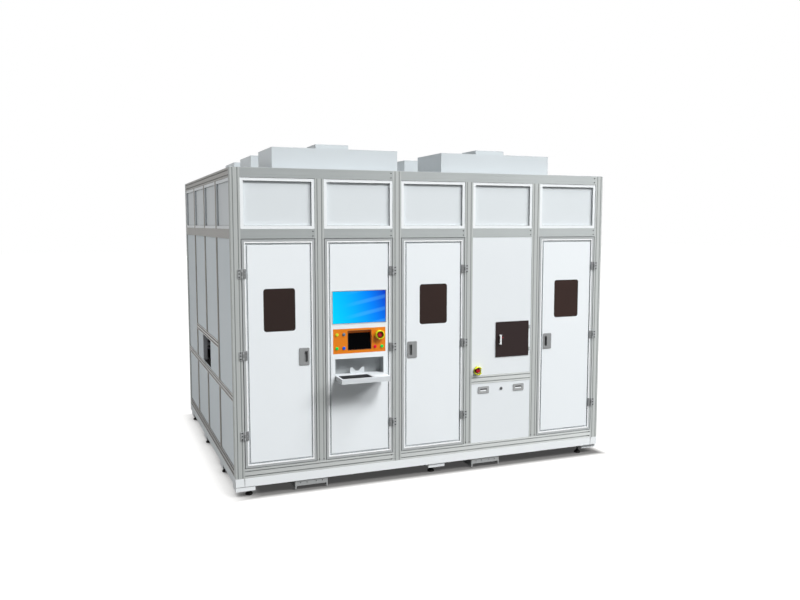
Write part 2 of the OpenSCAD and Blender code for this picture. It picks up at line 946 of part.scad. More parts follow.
module door_5_frame() {
    color(ALUMINIUM) at_corner() leaf_frame(4, 1);
}

module door_5_panel() {
    color(WHITE) at_corner() door_panel(4, 1);
}

module door_5_window() {
    color(SMOKED) at_corner() door_window(4);
}

module door_5_handle() {
    color(ZINC) at_corner() door_handle(4, 1);
}

// ---------- Operator console on the second door ----------

console_x = bay_middle(1);
console_back = field_step + sheet;
screen_mid = floor_gap + screen_z;
fascia_mid = floor_gap + fascia_z;
shelf_top = floor_gap + shelf_z;
niche_top = shelf_top + niche_h;
screen_w = leaf_w - 2 * screen_margin;
fascia_w = leaf_w - 2 * fascia_margin;
touch_w = fascia_w - 2 * touch_margin;
niche_w = leaf_w - 2 * niche_margin;
niche_wall = 1.5;
fascia_t = 4;
fascia_flange = 8;
touch_frame = 12;

module door_2_frame() {
    color(ALUMINIUM) at_corner() leaf_frame(1, 1);
}

module door_2_panel() {
    lower = shelf_top - shelf_t - fit;
    color(WHITE) at_corner()
        leaf_panel(1)
            cut_through(1) {
                translate([console_x, screen_mid])
                    square([screen_w, screen_h], center = true);
                translate([console_x, fascia_mid])
                    square([fascia_w + 2 * fit, fascia_h + 2 * fit], center = true);
                translate([console_x - niche_w / 2 - fit, lower])
                    square([niche_w + 2 * fit, niche_top - lower + fit]);
            }
}

module monitor_housing() {
    bezel = 12;
    depth = 48;
    lip = 3;
    color(BLACK) at_corner()
        translate([console_x, 0, screen_mid])
            difference() {
                plate(console_back, console_back + depth)
                    square([screen_w + 2 * bezel, screen_h + 2 * bezel], center = true);
                plate(console_back - eps, console_back + lip + fit)
                    square([screen_w + 2 * lip, screen_h + 2 * lip], center = true);
            }
}

module monitor_screen() {
    color([0.05, 0.55, 0.95]) at_corner()
        translate([console_x, 0, screen_mid])
            plate(console_back, console_back + 3)
                square([screen_w + 5, screen_h + 5], center = true);
}

// Places of the push buttons and of the emergency stop, from the fascia's centre
button_left_x = [36 - fascia_w / 2, 100 - fascia_w / 2];
button_right_x = [fascia_w / 2 - 99, fascia_w / 2 - 34];
button_upper = 59.5;
button_lower = -62;
estop_place = [fascia_w / 2 - 60, 44];
button_places = [
    [button_left_x[0], button_upper], [button_left_x[1], button_upper],
    [button_left_x[0], button_lower], [button_left_x[1], button_lower],
    [button_right_x[0], button_lower], [button_right_x[1], button_lower]
];
estop_stem_d = 22;
touch_centre = [1, 4];

// Section through the touch panel's surround: the panel leans back towards its upper edge
module lean_section(front, back, grow) {
    polygon([
        [front, -touch_h / 2 - grow], [back, -touch_h / 2 - grow],
        [back + touch_lean, touch_h / 2 + grow], [front, touch_h / 2 + grow]
    ]);
}

// Extrudes a section in Y and Z symmetrically along X
module along_x(width) {
    translate([-width / 2, 0, 0])
        rotate([90, 0, 90])
            linear_extrude(width)
                children();
}

module control_fascia() {
    surround = 2.5;
    web_h = 22;
    web_t = 3;
    front = field_step;
    back = front + fascia_t;
    web_low = touch_lean * (1 - web_h / touch_h);
    color(ORANGE) at_corner()
        translate([console_x, 0, fascia_mid])
            difference() {
                union() {
                    plate(front, front + fascia_t)
                        square([fascia_w, fascia_h], center = true);
                    plate(console_back + fit, front + fascia_t)
                        square([fascia_w + 2 * fascia_flange, fascia_h + 2 * fascia_flange], center = true);
                    translate([touch_centre[0], 0, touch_centre[1]])
                        along_x(touch_w + 2 * surround)
                            lean_section(front, front + fascia_t, surround);
                }
                translate([touch_centre[0], 0, touch_centre[1]])
                    along_x(touch_w)
                        lean_section(front - eps, front + fascia_t + eps, 0);
                for (p = button_places)
                    translate([p[0], 0, p[1]])
                        rod_y(button_d / 2 + fit, front - eps, back + eps);
                translate([estop_place[0], 0, estop_place[1]])
                    rod_y(estop_stem_d / 2 + fit, front - eps, back + eps);
            }
    color(ORANGE) at_corner()
        translate([console_x + touch_centre[0], 0, fascia_mid + touch_centre[1]])
            along_x(touch_w + 2 * surround)
                polygon([
                    [back + web_low - web_t, touch_h / 2 - web_h], [back + web_low, touch_h / 2 - web_h],
                    [back + touch_lean, touch_h / 2], [back + touch_lean - web_t, touch_h / 2]
                ]);
}

module touch_panel() {
    thickness = 22;
    start = field_step + fascia_t + eps + fit;
    lean = touch_lean * (touch_h + 2 * touch_frame) / touch_h;
    drop = touch_lean * touch_frame / touch_h;
    half = touch_h / 2 + touch_frame;
    inner = touch_h / 2;
    color(BLACK) at_corner()
        translate([console_x + touch_centre[0], 0, fascia_mid + touch_centre[1]]) {
            along_x(touch_w - 2 * fit)
                polygon([
                    [start - 1, -inner + fit], [start + thickness, -inner + fit],
                    [start + touch_lean + thickness, inner - fit], [start + touch_lean - 1, inner - fit]
                ]);
            along_x(touch_w + 2 * touch_frame)
                polygon([
                    [start - drop + 3, -half], [start - drop + thickness, -half],
                    [start - drop + lean + thickness, half], [start - drop + lean + 3, half]
                ]);
        }
}

module keyboard_niche() {
    floor_z = shelf_top - shelf_t;
    inside_h = niche_top - floor_z - niche_wall;
    flange = 8;
    color(NICHE_GREY) at_corner()
        difference() {
            union() {
                translate([console_x - niche_w / 2, console_back + fit, floor_z])
                    cube([niche_w, niche_depth - console_back, niche_top - floor_z]);
                translate([console_x - niche_w / 2 - flange, console_back + fit, floor_z])
                    cube([niche_w + 2 * flange, niche_wall, niche_top - floor_z + flange]);
            }
            translate([console_x - niche_w / 2 + niche_wall, 0, floor_z - eps])
                cube([niche_w - 2 * niche_wall, niche_depth - niche_wall, inside_h + eps]);
        }
}

shelf_w = niche_w - 2 * niche_wall - 2 * fit;
shelf_back = niche_depth - niche_wall - fit;
shelf_wall = 3;
shelf_rim = 16;
keyboard_w = 0.62 * shelf_w;
keyboard_pocket_depth = 14;
keyboard_front = -shelf_reach + shelf_rim;
keyboard_back = -10;

// Bent sheet shelf with a pocket for the keyboard and a notched bracket for the hand scanner
module keyboard_shelf() {
    notch_x = -4;
    bracket_y = 60;
    bracket_w = 132;
    bracket_h = 54;
    notch_top = 86;
    notch_bottom = 30;
    notch_depth = 32;
    left = -shelf_w / 2;
    color(WHITE) at_corner()
        translate([console_x, 0, shelf_top]) {
            difference() {
                translate([left, -shelf_reach, -shelf_t])
                    cube([shelf_w, shelf_reach + shelf_back, shelf_t]);
                translate([left + shelf_wall, -shelf_reach + shelf_wall, -shelf_t - eps])
                    cube([shelf_w - 2 * shelf_wall, shelf_reach + shelf_back - 2 * shelf_wall,
                        shelf_t - keyboard_pocket_depth - shelf_wall + eps]);
                translate([left + shelf_rim, keyboard_front, -keyboard_pocket_depth])
                    cube([keyboard_w, keyboard_back - keyboard_front, keyboard_pocket_depth + eps]);
            }
            translate([notch_x, 0, 0])
                plate(bracket_y, bracket_y + 3)
                    polygon([
                        [-bracket_w / 2, 0], [bracket_w / 2, 0], [bracket_w / 2, bracket_h],
                        [notch_top / 2, bracket_h], [notch_bottom / 2, bracket_h - notch_depth],
                        [-notch_bottom / 2, bracket_h - notch_depth], [-notch_top / 2, bracket_h],
                        [-bracket_w / 2, bracket_h]
                    ]);
        }
}

// Compact keyboard: a base tray with rows of keys
module keyboard() {
    margin = 5;
    rows = 5;
    columns = 14;
    key_gap = 3;
    body_h = 10;
    key_h = 5;
    body_w = keyboard_w - 2 * margin;
    body_d = keyboard_back - keyboard_front - 2 * margin;
    pitch_x = (body_w - 6) / columns;
    pitch_y = (body_d - 6) / rows;
    color(BLACK) at_corner()
        translate([console_x - shelf_w / 2 + shelf_rim + margin, keyboard_front + margin,
            shelf_top - keyboard_pocket_depth]) {
            cube([body_w, body_d, body_h]);
            for (i = [0:columns - 1], j = [0:rows - 1])
                translate([3 + i * pitch_x + key_gap / 2, 3 + j * pitch_y + key_gap / 2, body_h - 0.5])
                    cube([pitch_x - key_gap, pitch_y - key_gap, key_h]);
        }
}

// ---------- Push buttons and emergency stops ----------

module push_button(place, finish) {
    body = 14;
    dome = 2;
    front = field_step - button_out;
    color(finish) at_corner()
        translate([console_x + place[0], front, fascia_mid + place[1]])
            rotate([-90, 0, 0])
                rotate_extrude()
                    polygon([
                        [0, 0], [button_d / 2 - dome, 0], [button_d / 2, dome],
                        [button_d / 2, button_out + body], [0, button_out + body]
                    ]);
}

module button_yellow() {
    push_button(button_places[0], [0.72, 0.80, 0.25]);
}

module button_grey() {
    push_button(button_places[1], [0.45, 0.52, 0.58]);
}

module button_green_left() {
    push_button(button_places[2], [0.10, 0.72, 0.30]);
}

module button_blue() {
    push_button(button_places[3], [0.08, 0.30, 0.80]);
}

module button_red() {
    push_button(button_places[4], [0.75, 0.10, 0.18]);
}

module button_green_right() {
    push_button(button_places[5], [0.10, 0.72, 0.30]);
}

guard_wall = 7;
guard_rim = 3;
estop_clear = estop_travel + 3;

// Mushroom head on its stem, pointing to -Y from the surface it is pressed towards
module estop_head() {
    head_t = 15;
    rotate([90, 0, 0])
        rotate_extrude()
            polygon([
                [0, -16], [estop_stem_d / 2, -16], [estop_stem_d / 2, estop_clear],
                [estop_d / 2 - 2, estop_clear], [estop_d / 2, estop_clear + 2],
                [estop_d / 2, estop_clear + head_t - 4], [estop_d / 2 - 4, estop_clear + head_t],
                [0, estop_clear + head_t]
            ]);
}

// Ring that stands round an emergency stop, with finger notches on both sides if it is notched
module estop_guard(notched) {
    notch_w = 40;
    notch_depth = 28;
    notch_side = notch_depth * sqrt(2);
    difference() {
        rotate([90, 0, 0])
            rotate_extrude()
                polygon([
                    [guard_d / 2 - guard_wall, 0], [guard_d / 2, 0], [guard_d / 2, guard_h - guard_rim],
                    [guard_d / 2 - guard_rim, guard_h], [guard_d / 2 - guard_wall, guard_h]
                ]);
        if (notched)
            for (a = [0, 180])
                rotate([0, a, 0])
                    translate([guard_d / 2 - guard_wall / 2, -guard_h, 0])
                        rotate([0, 0, 45])
                            cube([notch_side, notch_side, notch_w], center = true);
        rod_y(estop_stem_d / 2 + fit, -eps, eps);
    }
}

module door_estop_guard() {
    color(YELLOW) at_corner()
        translate([console_x + estop_place[0], field_step, fascia_mid + estop_place[1]])
            estop_guard(false);
}

module door_estop_head() {
    color(RED) at_corner()
        translate([console_x + estop_place[0], field_step, fascia_mid + estop_place[1]])
            estop_head();
}

bay_estop_x = bay_x(3) + 59;
bay_estop_height = 854;
bay_estop_z = floor_gap + bay_estop_height;

module bay_estop_guard() {
    color(YELLOW) at_corner()
        translate([bay_estop_x, field_step, bay_estop_z])
            estop_guard(true);
}

module bay_estop_head() {
    color(RED) at_corner()
        translate([bay_estop_x, field_step, bay_estop_z])
            estop_head();
}

// ---------- Fourth bay: fixed panel, hatch and service panel ----------

bay_panel_z = crossbar_bottom + profile + seat;
bay_panel_h = mid_bottom - seat - bay_panel_z;
hatch_lap = 12;

module bay_panel() {
    color(WHITE) at_corner()
        difference() {
            translate([bay_x(3) + seat, field_step, bay_panel_z])
                folded_panel(bay_clear - 2 * seat, bay_panel_h, infill_depth);
            translate([hatch_x0 + hatch_lap, -eps, hatch_mid_z - hatch_h / 2 + hatch_lap])
                cube([hatch_w - 2 * hatch_lap, infill_depth, hatch_h - 2 * hatch_lap]);
            translate([bay_estop_x, 0, bay_estop_z])
                rod_y(estop_stem_d / 2 + fit, -eps, infill_depth);
        }
}

// Tinted hatch with the moving knuckles of its two hinges
module hatch_panel() {
    knuckle_h = hatch_hinge_h / 3 - fit;
    color(SMOKED) at_corner() {
        translate([hatch_x0, 0, hatch_mid_z - hatch_h / 2])
            plate(hatch_front, hatch_front + hatch_t)
                square([hatch_w, hatch_h]);
        for (z = hatch_hinge_z)
            translate([hatch_axis_x, hatch_axis_y, z])
                difference() {
                    union() {
                        translate([0, 0, -knuckle_h / 2])
                            cylinder(r = hatch_knuckle_r, h = knuckle_h);
                        translate([-hatch_knuckle_r - 6, -hatch_knuckle_r, -knuckle_h / 2])
                            cube([hatch_knuckle_r + 6, hatch_knuckle_r - 1, knuckle_h]);
                    }
                    cylinder(r = 1.25, h = hatch_hinge_h, center = true);
                }
    }
}

hatch_handle_x = hatch_x0 + 40;
hatch_handle_h = 92;
hatch_handle_w = 14;
hatch_handle_out = 26;

module hatch_handle() {
    leg = 12;
    bar = 9;
    lowest = hatch_mid_z - hatch_handle_h / 2;
    color(WHITE) at_corner()
        translate([hatch_handle_x - hatch_handle_w / 2, hatch_front - hatch_handle_out, lowest])
            difference() {
                cube([hatch_handle_w, hatch_handle_out, hatch_handle_h]);
                translate([-eps, bar, leg])
                    cube([hatch_handle_w + 2 * eps, hatch_handle_out, hatch_handle_h - 2 * leg]);
            }
}

service_z = sill_top + seat;
service_h = crossbar_bottom - seat - service_z;
pull_offset = 190;

module service_panel() {
    color(WHITE) at_corner()
        difference() {
            translate([bay_x(3) + seat, field_step, service_z])
                folded_panel(bay_clear - 2 * seat, service_h, infill_depth);
            for (s = [-1, 1])
                translate([bay_middle(3) + s * pull_offset, 0, floor_gap + pull_z])
                    plate(-eps, infill_depth)
                        square([pull_w, pull_h] - 2 * [handle_cup_margin, handle_cup_margin], center = true);
            translate([bay_middle(3), 0, floor_gap + pull_z])
                rod_y(lock_d / 2 - 3 + fit, -eps, infill_depth);
        }
}

module service_pulls() {
    color(ZINC) at_corner()
        for (s = [-1, 1])
            translate([bay_middle(3) + s * pull_offset, field_step, floor_gap + pull_z])
                recessed_pull(pull_w, pull_h, 68, 26, 0, 0);
}

// Quarter-turn lock barrel with a key slot and a short cam behind the panel
module service_lock() {
    key_w = 2.5;
    key_h = 10;
    barrel_l = 24;
    cam_l = 30;
    color(ZINC) at_corner()
        translate([bay_middle(3), field_step, floor_gap + pull_z])
            difference() {
                union() {
                    rod_y(lock_d / 2, -4, -fit);
                    rod_y(lock_d / 2 - 3, -4, barrel_l);
                    translate([-6, barrel_l - 4, -6])
                        cube([cam_l, 4, 12]);
                }
                translate([-key_w / 2, -5, -key_h / 2])
                    cube([key_w, 8, key_h]);
            }
}

// ---------- Drilling bed inside ----------

bed_x0 = 180;
bed_mid_y = load_window_y + load_window_w / 2;
bed_y0 = bed_mid_y - bed_w / 2;
bed_top = floor_gap + bed_z;
isolator_h = 70;
stand_tube = 100;
isolator_d = 120;
stand_y = [bed_y0 + 60, bed_y0 + bed_w - 60 - stand_tube];

module bed_stand() {
    top = bed_top - bed_t - isolator_h;
    legs_x = [bed_x0 + 60, bed_x0 + bed_l / 2 - stand_tube / 2, bed_x0 + bed_l - 60 - stand_tube];
    color([0.30, 0.33, 0.36]) at_corner() {
        for (x = legs_x, y = stand_y) {
            translate([x, y, base_top])
                cube([stand_tube, stand_tube, top - base_top]);
            translate([x + stand_tube / 2, y + stand_tube / 2, top - eps])
                cylinder(d = isolator_d, h = isolator_h + eps);
        }
        for (y = stand_y)
            translate([legs_x[0], y, top - stand_tube])
                cube([legs_x[2] - legs_x[0] + stand_tube, stand_tube, stand_tube]);
        for (x = legs_x)
            translate([x, stand_y[0], top - stand_tube])
                cube([stand_tube, stand_y[1] - stand_y[0], stand_tube]);
    }
}

module granite_bed() {
    color(GRANITE) at_corner()
        translate([bed_x0, bed_y0, bed_top - bed_t])
            cube([bed_l, bed_w, bed_t]);
}

bridge_place = 1180;
bridge_x0 = bed_x0 + bridge_place;
bridge_leg_w = 200;

module granite_bridge() {
    color(GRANITE) at_corner()
        translate([bridge_x0, bed_y0, bed_top])
            difference() {
                cube([bridge_l, bed_w, bridge_clear + bridge_h]);
                translate([-eps, bridge_leg_w, -eps])
                    cube([bridge_l + 2 * eps, bed_w - 2 * bridge_leg_w, bridge_clear + eps]);
            }
}

rail_w = 34;
rail_t = 30;
table_rail_y = 230;
bridge_rail_margin = 70;
bridge_rail_z = [bridge_rail_margin, bridge_h - bridge_rail_margin - rail_w];
rail_end = 30;

module linear_rails() {
    color(STEEL) at_corner() {
        for (s = [-1, 1])
            translate([bed_x0 + rail_end, bed_mid_y + s * table_rail_y - rail_w / 2, bed_top])
                cube([bed_l - 2 * rail_end, rail_w, rail_t]);
        for (z = bridge_rail_z)
            translate([bridge_x0 - rail_t, bed_y0 + rail_end, bed_top + bridge_clear + z])
                cube([rail_t, bed_w - 2 * rail_end, rail_w]);
    }
}

chuck_x0 = bed_x0 + 40;
carriage_t = 50;
block_h = 44;
chuck_t = 40;
carriage_w = 560;
carriage_top = bed_top + block_h + carriage_t;

// Bearing block that straddles a rail of width rail_w, drawn across the rail's width
module bearing_block(length) {
    wall = 16;
    rotate([90, 0, 90])
        linear_extrude(length)
            difference() {
                translate([-rail_w / 2 - wall, fit * 2])
                    square([rail_w + 2 * wall, block_h - fit * 2]);
                translate([-rail_w / 2 - fit, -eps])
                    square([rail_w + 2 * fit, rail_t + fit + eps]);
            }
}

module table_carriage() {
    block_l = 110;
    color(ALUMINIUM) at_corner()
        translate([chuck_x0 + (chuck_w - carriage_w) / 2, bed_mid_y, bed_top]) {
            translate([0, -carriage_w / 2, block_h])
                cube([carriage_w, carriage_w, carriage_t]);
            for (x = [20, carriage_w - 20 - block_l], s = [-1, 1])
                translate([x, s * table_rail_y, 0])
                    bearing_block(block_l);
        }
}

module vacuum_chuck() {
    groove = 6;
    pitch = 100;
    lines = floor((chuck_w - pitch) / pitch);
    color([0.78, 0.79, 0.80]) at_corner()
        translate([chuck_x0, bed_mid_y - chuck_w / 2, carriage_top])
            difference() {
                cube([chuck_w, chuck_w, chuck_t]);
                for (i = [0:lines])
                    translate([pitch / 2 + i * pitch, pitch / 2, chuck_t - 4])
                        cube([groove, chuck_w - pitch, 5]);
                for (i = [0:lines])
                    translate([pitch / 2, pitch / 2 + i * pitch, chuck_t - 4])
                        cube([chuck_w - pitch, groove, 5]);
            }
}

saddle_w = 300;
saddle_t = 30;
saddle_front = bridge_x0 - block_h;

module bridge_carriage() {
    rail_mid = bed_top + bridge_clear;
    color(ALUMINIUM) at_corner() {
        translate([saddle_front - saddle_t, bed_mid_y - saddle_w / 2, rail_mid + 30])
            cube([saddle_t, saddle_w, bridge_h - 60]);
        for (z = bridge_rail_z)
            translate([bridge_x0, bed_mid_y - saddle_w / 2 + 20, rail_mid + z + rail_w / 2])
                rotate([0, -90, 0])
                    rotate([0, 0, 90])
                        bearing_block(saddle_w - 40);
        for (s = [-1, 1])
            translate([saddle_front - saddle_t - 22, bed_mid_y + s * 95 - 11, rail_mid + 20])
                cube([22, 22, bridge_h - 40]);
    }
}

module scan_head() {
    plate_t = 24;
    slide_front = saddle_front - saddle_t - 22 - fit;
    head_w = 200;
    head_l = 170;
    head_h = 220;
    focus_distance = 150;
    lens_z = carriage_top + chuck_t + focus_distance;
    color([0.20, 0.22, 0.25]) at_corner() {
        translate([slide_front - plate_t, bed_mid_y - 120, lens_z + 70])
            cube([plate_t, 240, 300]);
        translate([slide_front - plate_t - head_l, bed_mid_y - head_w / 2, lens_z + 60])
            cube([head_l, head_w, head_h]);
        translate([slide_front - plate_t - head_l / 2, bed_mid_y, lens_z])
            rotate_extrude()
                polygon([[0, 0], [44, 0], [52, 8], [52, 40], [60, 48], [60, 61], [0, 61]]);
    }
}

// Laser head on the bridge, with the mirror box that turns its beam down in front of the bridge
module laser_source() {
    mirror_box = 100;
    mirror_drop = 60;
    fins = 9;
    laser_l = 900;
    laser_w = 220;
    laser_h = 190;
    foot_h = 20;
    top = bed_top + bridge_clear + bridge_h;
    color([0.80, 0.82, 0.84]) at_corner()
        translate([bridge_x0 + (bridge_l - laser_w) / 2, bed_mid_y - laser_l / 2, top]) {
            for (y = [80, laser_l - 140])
                translate([10, y, 0])
                    cube([laser_w - 20, 60, foot_h]);
            translate([0, 0, foot_h])
                cube([laser_w, laser_l, laser_h]);
            for (i = [0:fins - 1])
                translate([20 + i * (laser_w - 40 - 4) / (fins - 1), 60, foot_h + laser_h - eps])
                    cube([4, laser_l - 120, 16 + eps]);
            translate([-mirror_box - (bridge_l - laser_w) / 2, -mirror_box, foot_h])
                cube([mirror_box + bridge_l / 2, mirror_box + eps, mirror_box]);
            translate([-mirror_box - (bridge_l - laser_w) / 2, -mirror_box, -mirror_drop])
                cube([mirror_box - 10, mirror_box, foot_h + mirror_drop + eps]);
        }
}

cabinet_w = 560;
cabinet_d = 500;
cabinet_h = 1700;
cabinet_y = 620;

module electrical_cabinet() {
    plinth = 60;
    door_t = 18;
    louvres = 6;
    x = bay_middle(4) - cabinet_w / 2;
    color([0.82, 0.83, 0.84]) at_corner()
        translate([x, cabinet_y, base_top]) {
            translate([20, 20, 0])
                cube([cabinet_w - 40, cabinet_d - 40, plinth + eps]);
            translate([0, 0, plinth])
                cube([cabinet_w, cabinet_d, cabinet_h - plinth]);
            difference() {
                translate([6, -door_t, plinth + 6])
                    cube([cabinet_w - 12, door_t + eps, cabinet_h - plinth - 12]);
                for (i = [0:louvres - 1])
                    translate([cabinet_w / 4, -door_t - eps, plinth + 120 + i * 30])
                        cube([cabinet_w / 2, 6, 8]);
            }
        }
}

base_frame();
fork_channels();
levelling_feet();
posts();
side_mullions();
long_beams();
side_beams();
roof_sheet();
top_panels();
wall_panels();
door_stops();
fan_filter_units();
fixed_hinge_leaves();
bay_panel();
bay_estop_guard();
bed_stand();
granite_bed();
granite_bridge();
linear_rails();
laser_source();
electrical_cabinet();
door_1_frame();
door_1_panel();
door_1_window();
door_1_handle();
door_2_frame();
door_2_panel();
monitor_housing();
monitor_screen();
control_fascia();
touch_panel();
keyboard_niche();
keyboard_shelf();
keyboard();
door_estop_guard();
button_yellow();
button_grey();
button_green_left();
button_blue();
button_red();
button_green_right();
door_estop_head();
bay_estop_head();
door_3_frame();
door_3_panel();
door_3_window();
door_3_handle();
door_5_frame();
door_5_panel();
door_5_window();
door_5_handle();
hatch_panel();
hatch_handle();
service_panel();
service_pulls();
service_lock();
table_carriage();
vacuum_chuck();
bridge_carriage();
scan_head();
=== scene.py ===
"""Finishes, small fittings, light and camera for the laser drilling machine.

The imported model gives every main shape. This script dresses it: each finish is a procedural
material, and screws, seals, bezels, grilles and other small fittings are modelled here in metres,
in the model's own frame, from the boxes of the parts that carry them.
"""

from __future__ import annotations

import json
import logging
import math
from dataclasses import dataclass, replace
from enum import Enum
from typing import Sequence

import bmesh
import bpy
from mathutils import Matrix, Vector


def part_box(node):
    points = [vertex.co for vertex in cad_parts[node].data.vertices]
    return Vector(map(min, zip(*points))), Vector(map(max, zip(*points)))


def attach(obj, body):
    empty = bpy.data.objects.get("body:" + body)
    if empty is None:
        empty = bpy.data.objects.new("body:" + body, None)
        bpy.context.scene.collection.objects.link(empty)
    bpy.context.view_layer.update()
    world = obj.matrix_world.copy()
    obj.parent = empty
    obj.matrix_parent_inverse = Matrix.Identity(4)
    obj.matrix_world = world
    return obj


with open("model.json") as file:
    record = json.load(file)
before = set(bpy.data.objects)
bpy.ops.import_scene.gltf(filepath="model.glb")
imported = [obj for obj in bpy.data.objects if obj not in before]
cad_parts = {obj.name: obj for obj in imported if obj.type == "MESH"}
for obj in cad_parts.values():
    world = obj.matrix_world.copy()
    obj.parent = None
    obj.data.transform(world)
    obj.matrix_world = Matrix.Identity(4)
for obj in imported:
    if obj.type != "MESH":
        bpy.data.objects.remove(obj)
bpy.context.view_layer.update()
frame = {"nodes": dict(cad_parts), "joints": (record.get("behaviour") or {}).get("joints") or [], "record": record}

log = logging.getLogger("laser_drilling_machine")

MM = 0.001
Colour = tuple[float, float, float]
Point = Sequence[float]
Section = Sequence[tuple[float, float]]
Socket = bpy.types.NodeSocket
Tree = bpy.types.NodeTree

WHITE = (1.0, 1.0, 1.0, 1.0)
UP = (0.0, 0.0, 1.0)
DOWN = (0.0, 0.0, -1.0)
FRONT = (0.0, -1.0, 0.0)
RIGHT = (1.0, 0.0, 0.0)


def srgb(red: int, green: int, blue: int) -> Colour:
    """Turns a display colour into the linear colour that shaders use.

    Args:
        red: Red from 0 to 255.
        green: Green from 0 to 255.
        blue: Blue from 0 to 255.

    Returns:
        The linear colour.
    """

    def channel(value: int) -> float:
        """Returns one channel, linear."""
        share = value / 255
        return share / 12.92 if share <= 0.04045 else ((share + 0.055) / 1.055) ** 2.4

    return channel(red), channel(green), channel(blue)


# ---------------------------------------------------------------- shader groups


class Graph:
    """A node tree under construction."""

    def __init__(self, tree: Tree) -> None:
        """Takes the tree that new nodes go into."""
        self.tree = tree

    def add(self, kind: str, settings: dict[str, object] | None = None, **inputs: object) -> bpy.types.Node:
        """Adds a node.

        Args:
            kind: The node's type name without its ShaderNode prefix.
            settings: Properties of the node, such as its operation.
            inputs: Values or sockets by input name, with _ for a space.

        Returns:
            The new node.
        """
        node = self.tree.nodes.new("ShaderNode" + kind)
        for name, value in (settings or {}).items():
            setattr(node, name, value)
        for name, value in inputs.items():
            self.feed(node, name.replace("_", " "), value)
        return node

    def feed(self, node: bpy.types.Node, name: str | int, value: object) -> None:
        """Sets an input to a value, or links it to a socket.

        Args:
            node: The node that has the input.
            name: The input's name or its number.
            value: A number, a tuple or an output socket.
        """
        socket = node.inputs[name]
        if isinstance(value, Socket):
            self.tree.links.new(value, socket)
        else:
            socket.default_value = value

    def joined(self, node: bpy.types.Node, values: dict[str | int, object], output: str | int = 0) -> Socket:
        """Feeds a node's inputs.

        Args:
            node: The node.
            values: What goes into each input, by its name or number.
            output: The output to return.

        Returns:
            The output's socket.
        """
        for name, value in values.items():
            self.feed(node, name, value)
        return node.outputs[output]

    def effect(self, tree: Tree, output: str = "Mask", **inputs: object) -> Socket:
        """Adds a shared shader group.

        Args:
            tree: The group.
            output: The output to return.
            inputs: Values or sockets by input name.

        Returns:
            The output's socket.
        """
        return self.joined(self.add("Group", {"node_tree": tree}), inputs, output)

    def place(self) -> Socket:
        """Returns the place in the machine's own frame."""
        return self.add("TexCoord").outputs["Object"]

    def parts(self, vector: object) -> Sequence[Socket]:
        """Returns a vector's X, Y and Z."""
        return self.add("SeparateXYZ", Vector=vector).outputs

    def noise(self, place: object, scale: object, detail: float, roughness: float = 0.5) -> Socket:
        """Adds a noise texture.

        Args:
            place: Where it is read.
            scale: Its scale.
            detail: Its layers of detail.
            roughness: How strong the fine layers are.

        Returns:
            The value's socket.
        """
        return self.add("TexNoise", Vector=place, Scale=scale, Detail=detail, Roughness=roughness).outputs[0]

    def math(self, operation: str, first: object, second: object = 0.5, clamp: bool = False) -> Socket:
        """Adds a Math node.

        Args:
            operation: The operation's name.
            first: The first value or socket.
            second: The second value or socket.
            clamp: Whether the result stays between 0 and 1.

        Returns:
            The result's socket.
        """
        node = self.add("Math", {"operation": operation, "use_clamp": clamp})
        return self.joined(node, {0: first, 1: second})

    def vector(self, operation: str, first: object, second: object) -> Socket:
        """Adds a Vector Math node of two vectors.

        Args:
            operation: The operation's name.
            first: The first vector or socket.
            second: The second vector or socket.

        Returns:
            The result's socket, which is a number for a dot product.
        """
        output = "Value" if operation == "DOT_PRODUCT" else "Vector"
        return self.joined(self.add("VectorMath", {"operation": operation}), {0: first, 1: second}, output)

    def swung(self, colour: object, swing: Socket) -> Socket:
        """Brightens a colour by twice a swing about 0.

        Args:
            colour: The colour or its socket.
            swing: The swing's socket.

        Returns:
            The new colour's socket.
        """
        level = self.math("ADD", self.math("MULTIPLY", swing, 2.0), 1.0)
        return self.joined(self.add("VectorMath", {"operation": "SCALE"}), {0: colour, "Scale": level})

    def mix(self, factor: object, first: object, second: object) -> Socket:
        """Mixes two colours.

        Args:
            factor: Share of the second colour.
            first: The first colour or socket.
            second: The second colour or socket.

        Returns:
            The mixed colour's socket.
        """
        return self.joined(self.add("Mix", {"data_type": "RGBA"}), {0: factor, 6: first, 7: second}, 2)

    def ramp(self, factor: object, low: float, high: float) -> Socket:
        """Maps a range of a value smoothly onto 0 to 1.

        Args:
            factor: The value's socket.
            low: The value that becomes 0.
            high: The value that becomes 1.

        Returns:
            The mapped value's socket.
        """
        node = self.add("MapRange", {"interpolation_type": "SMOOTHSTEP"})
        return self.joined(node, {"Value": factor, "From Min": low, "From Max": high})

    def span(self, factor: object, low: float, high: float) -> Socket:
        """Maps 0 to 1 evenly onto a range of values.

        Args:
            factor: The value's socket.
            low: What 0 becomes.
            high: What 1 becomes.

        Returns:
            The mapped value's socket.
        """
        return self.add("MapRange", Value=factor, To_Min=low, To_Max=high).outputs[0]


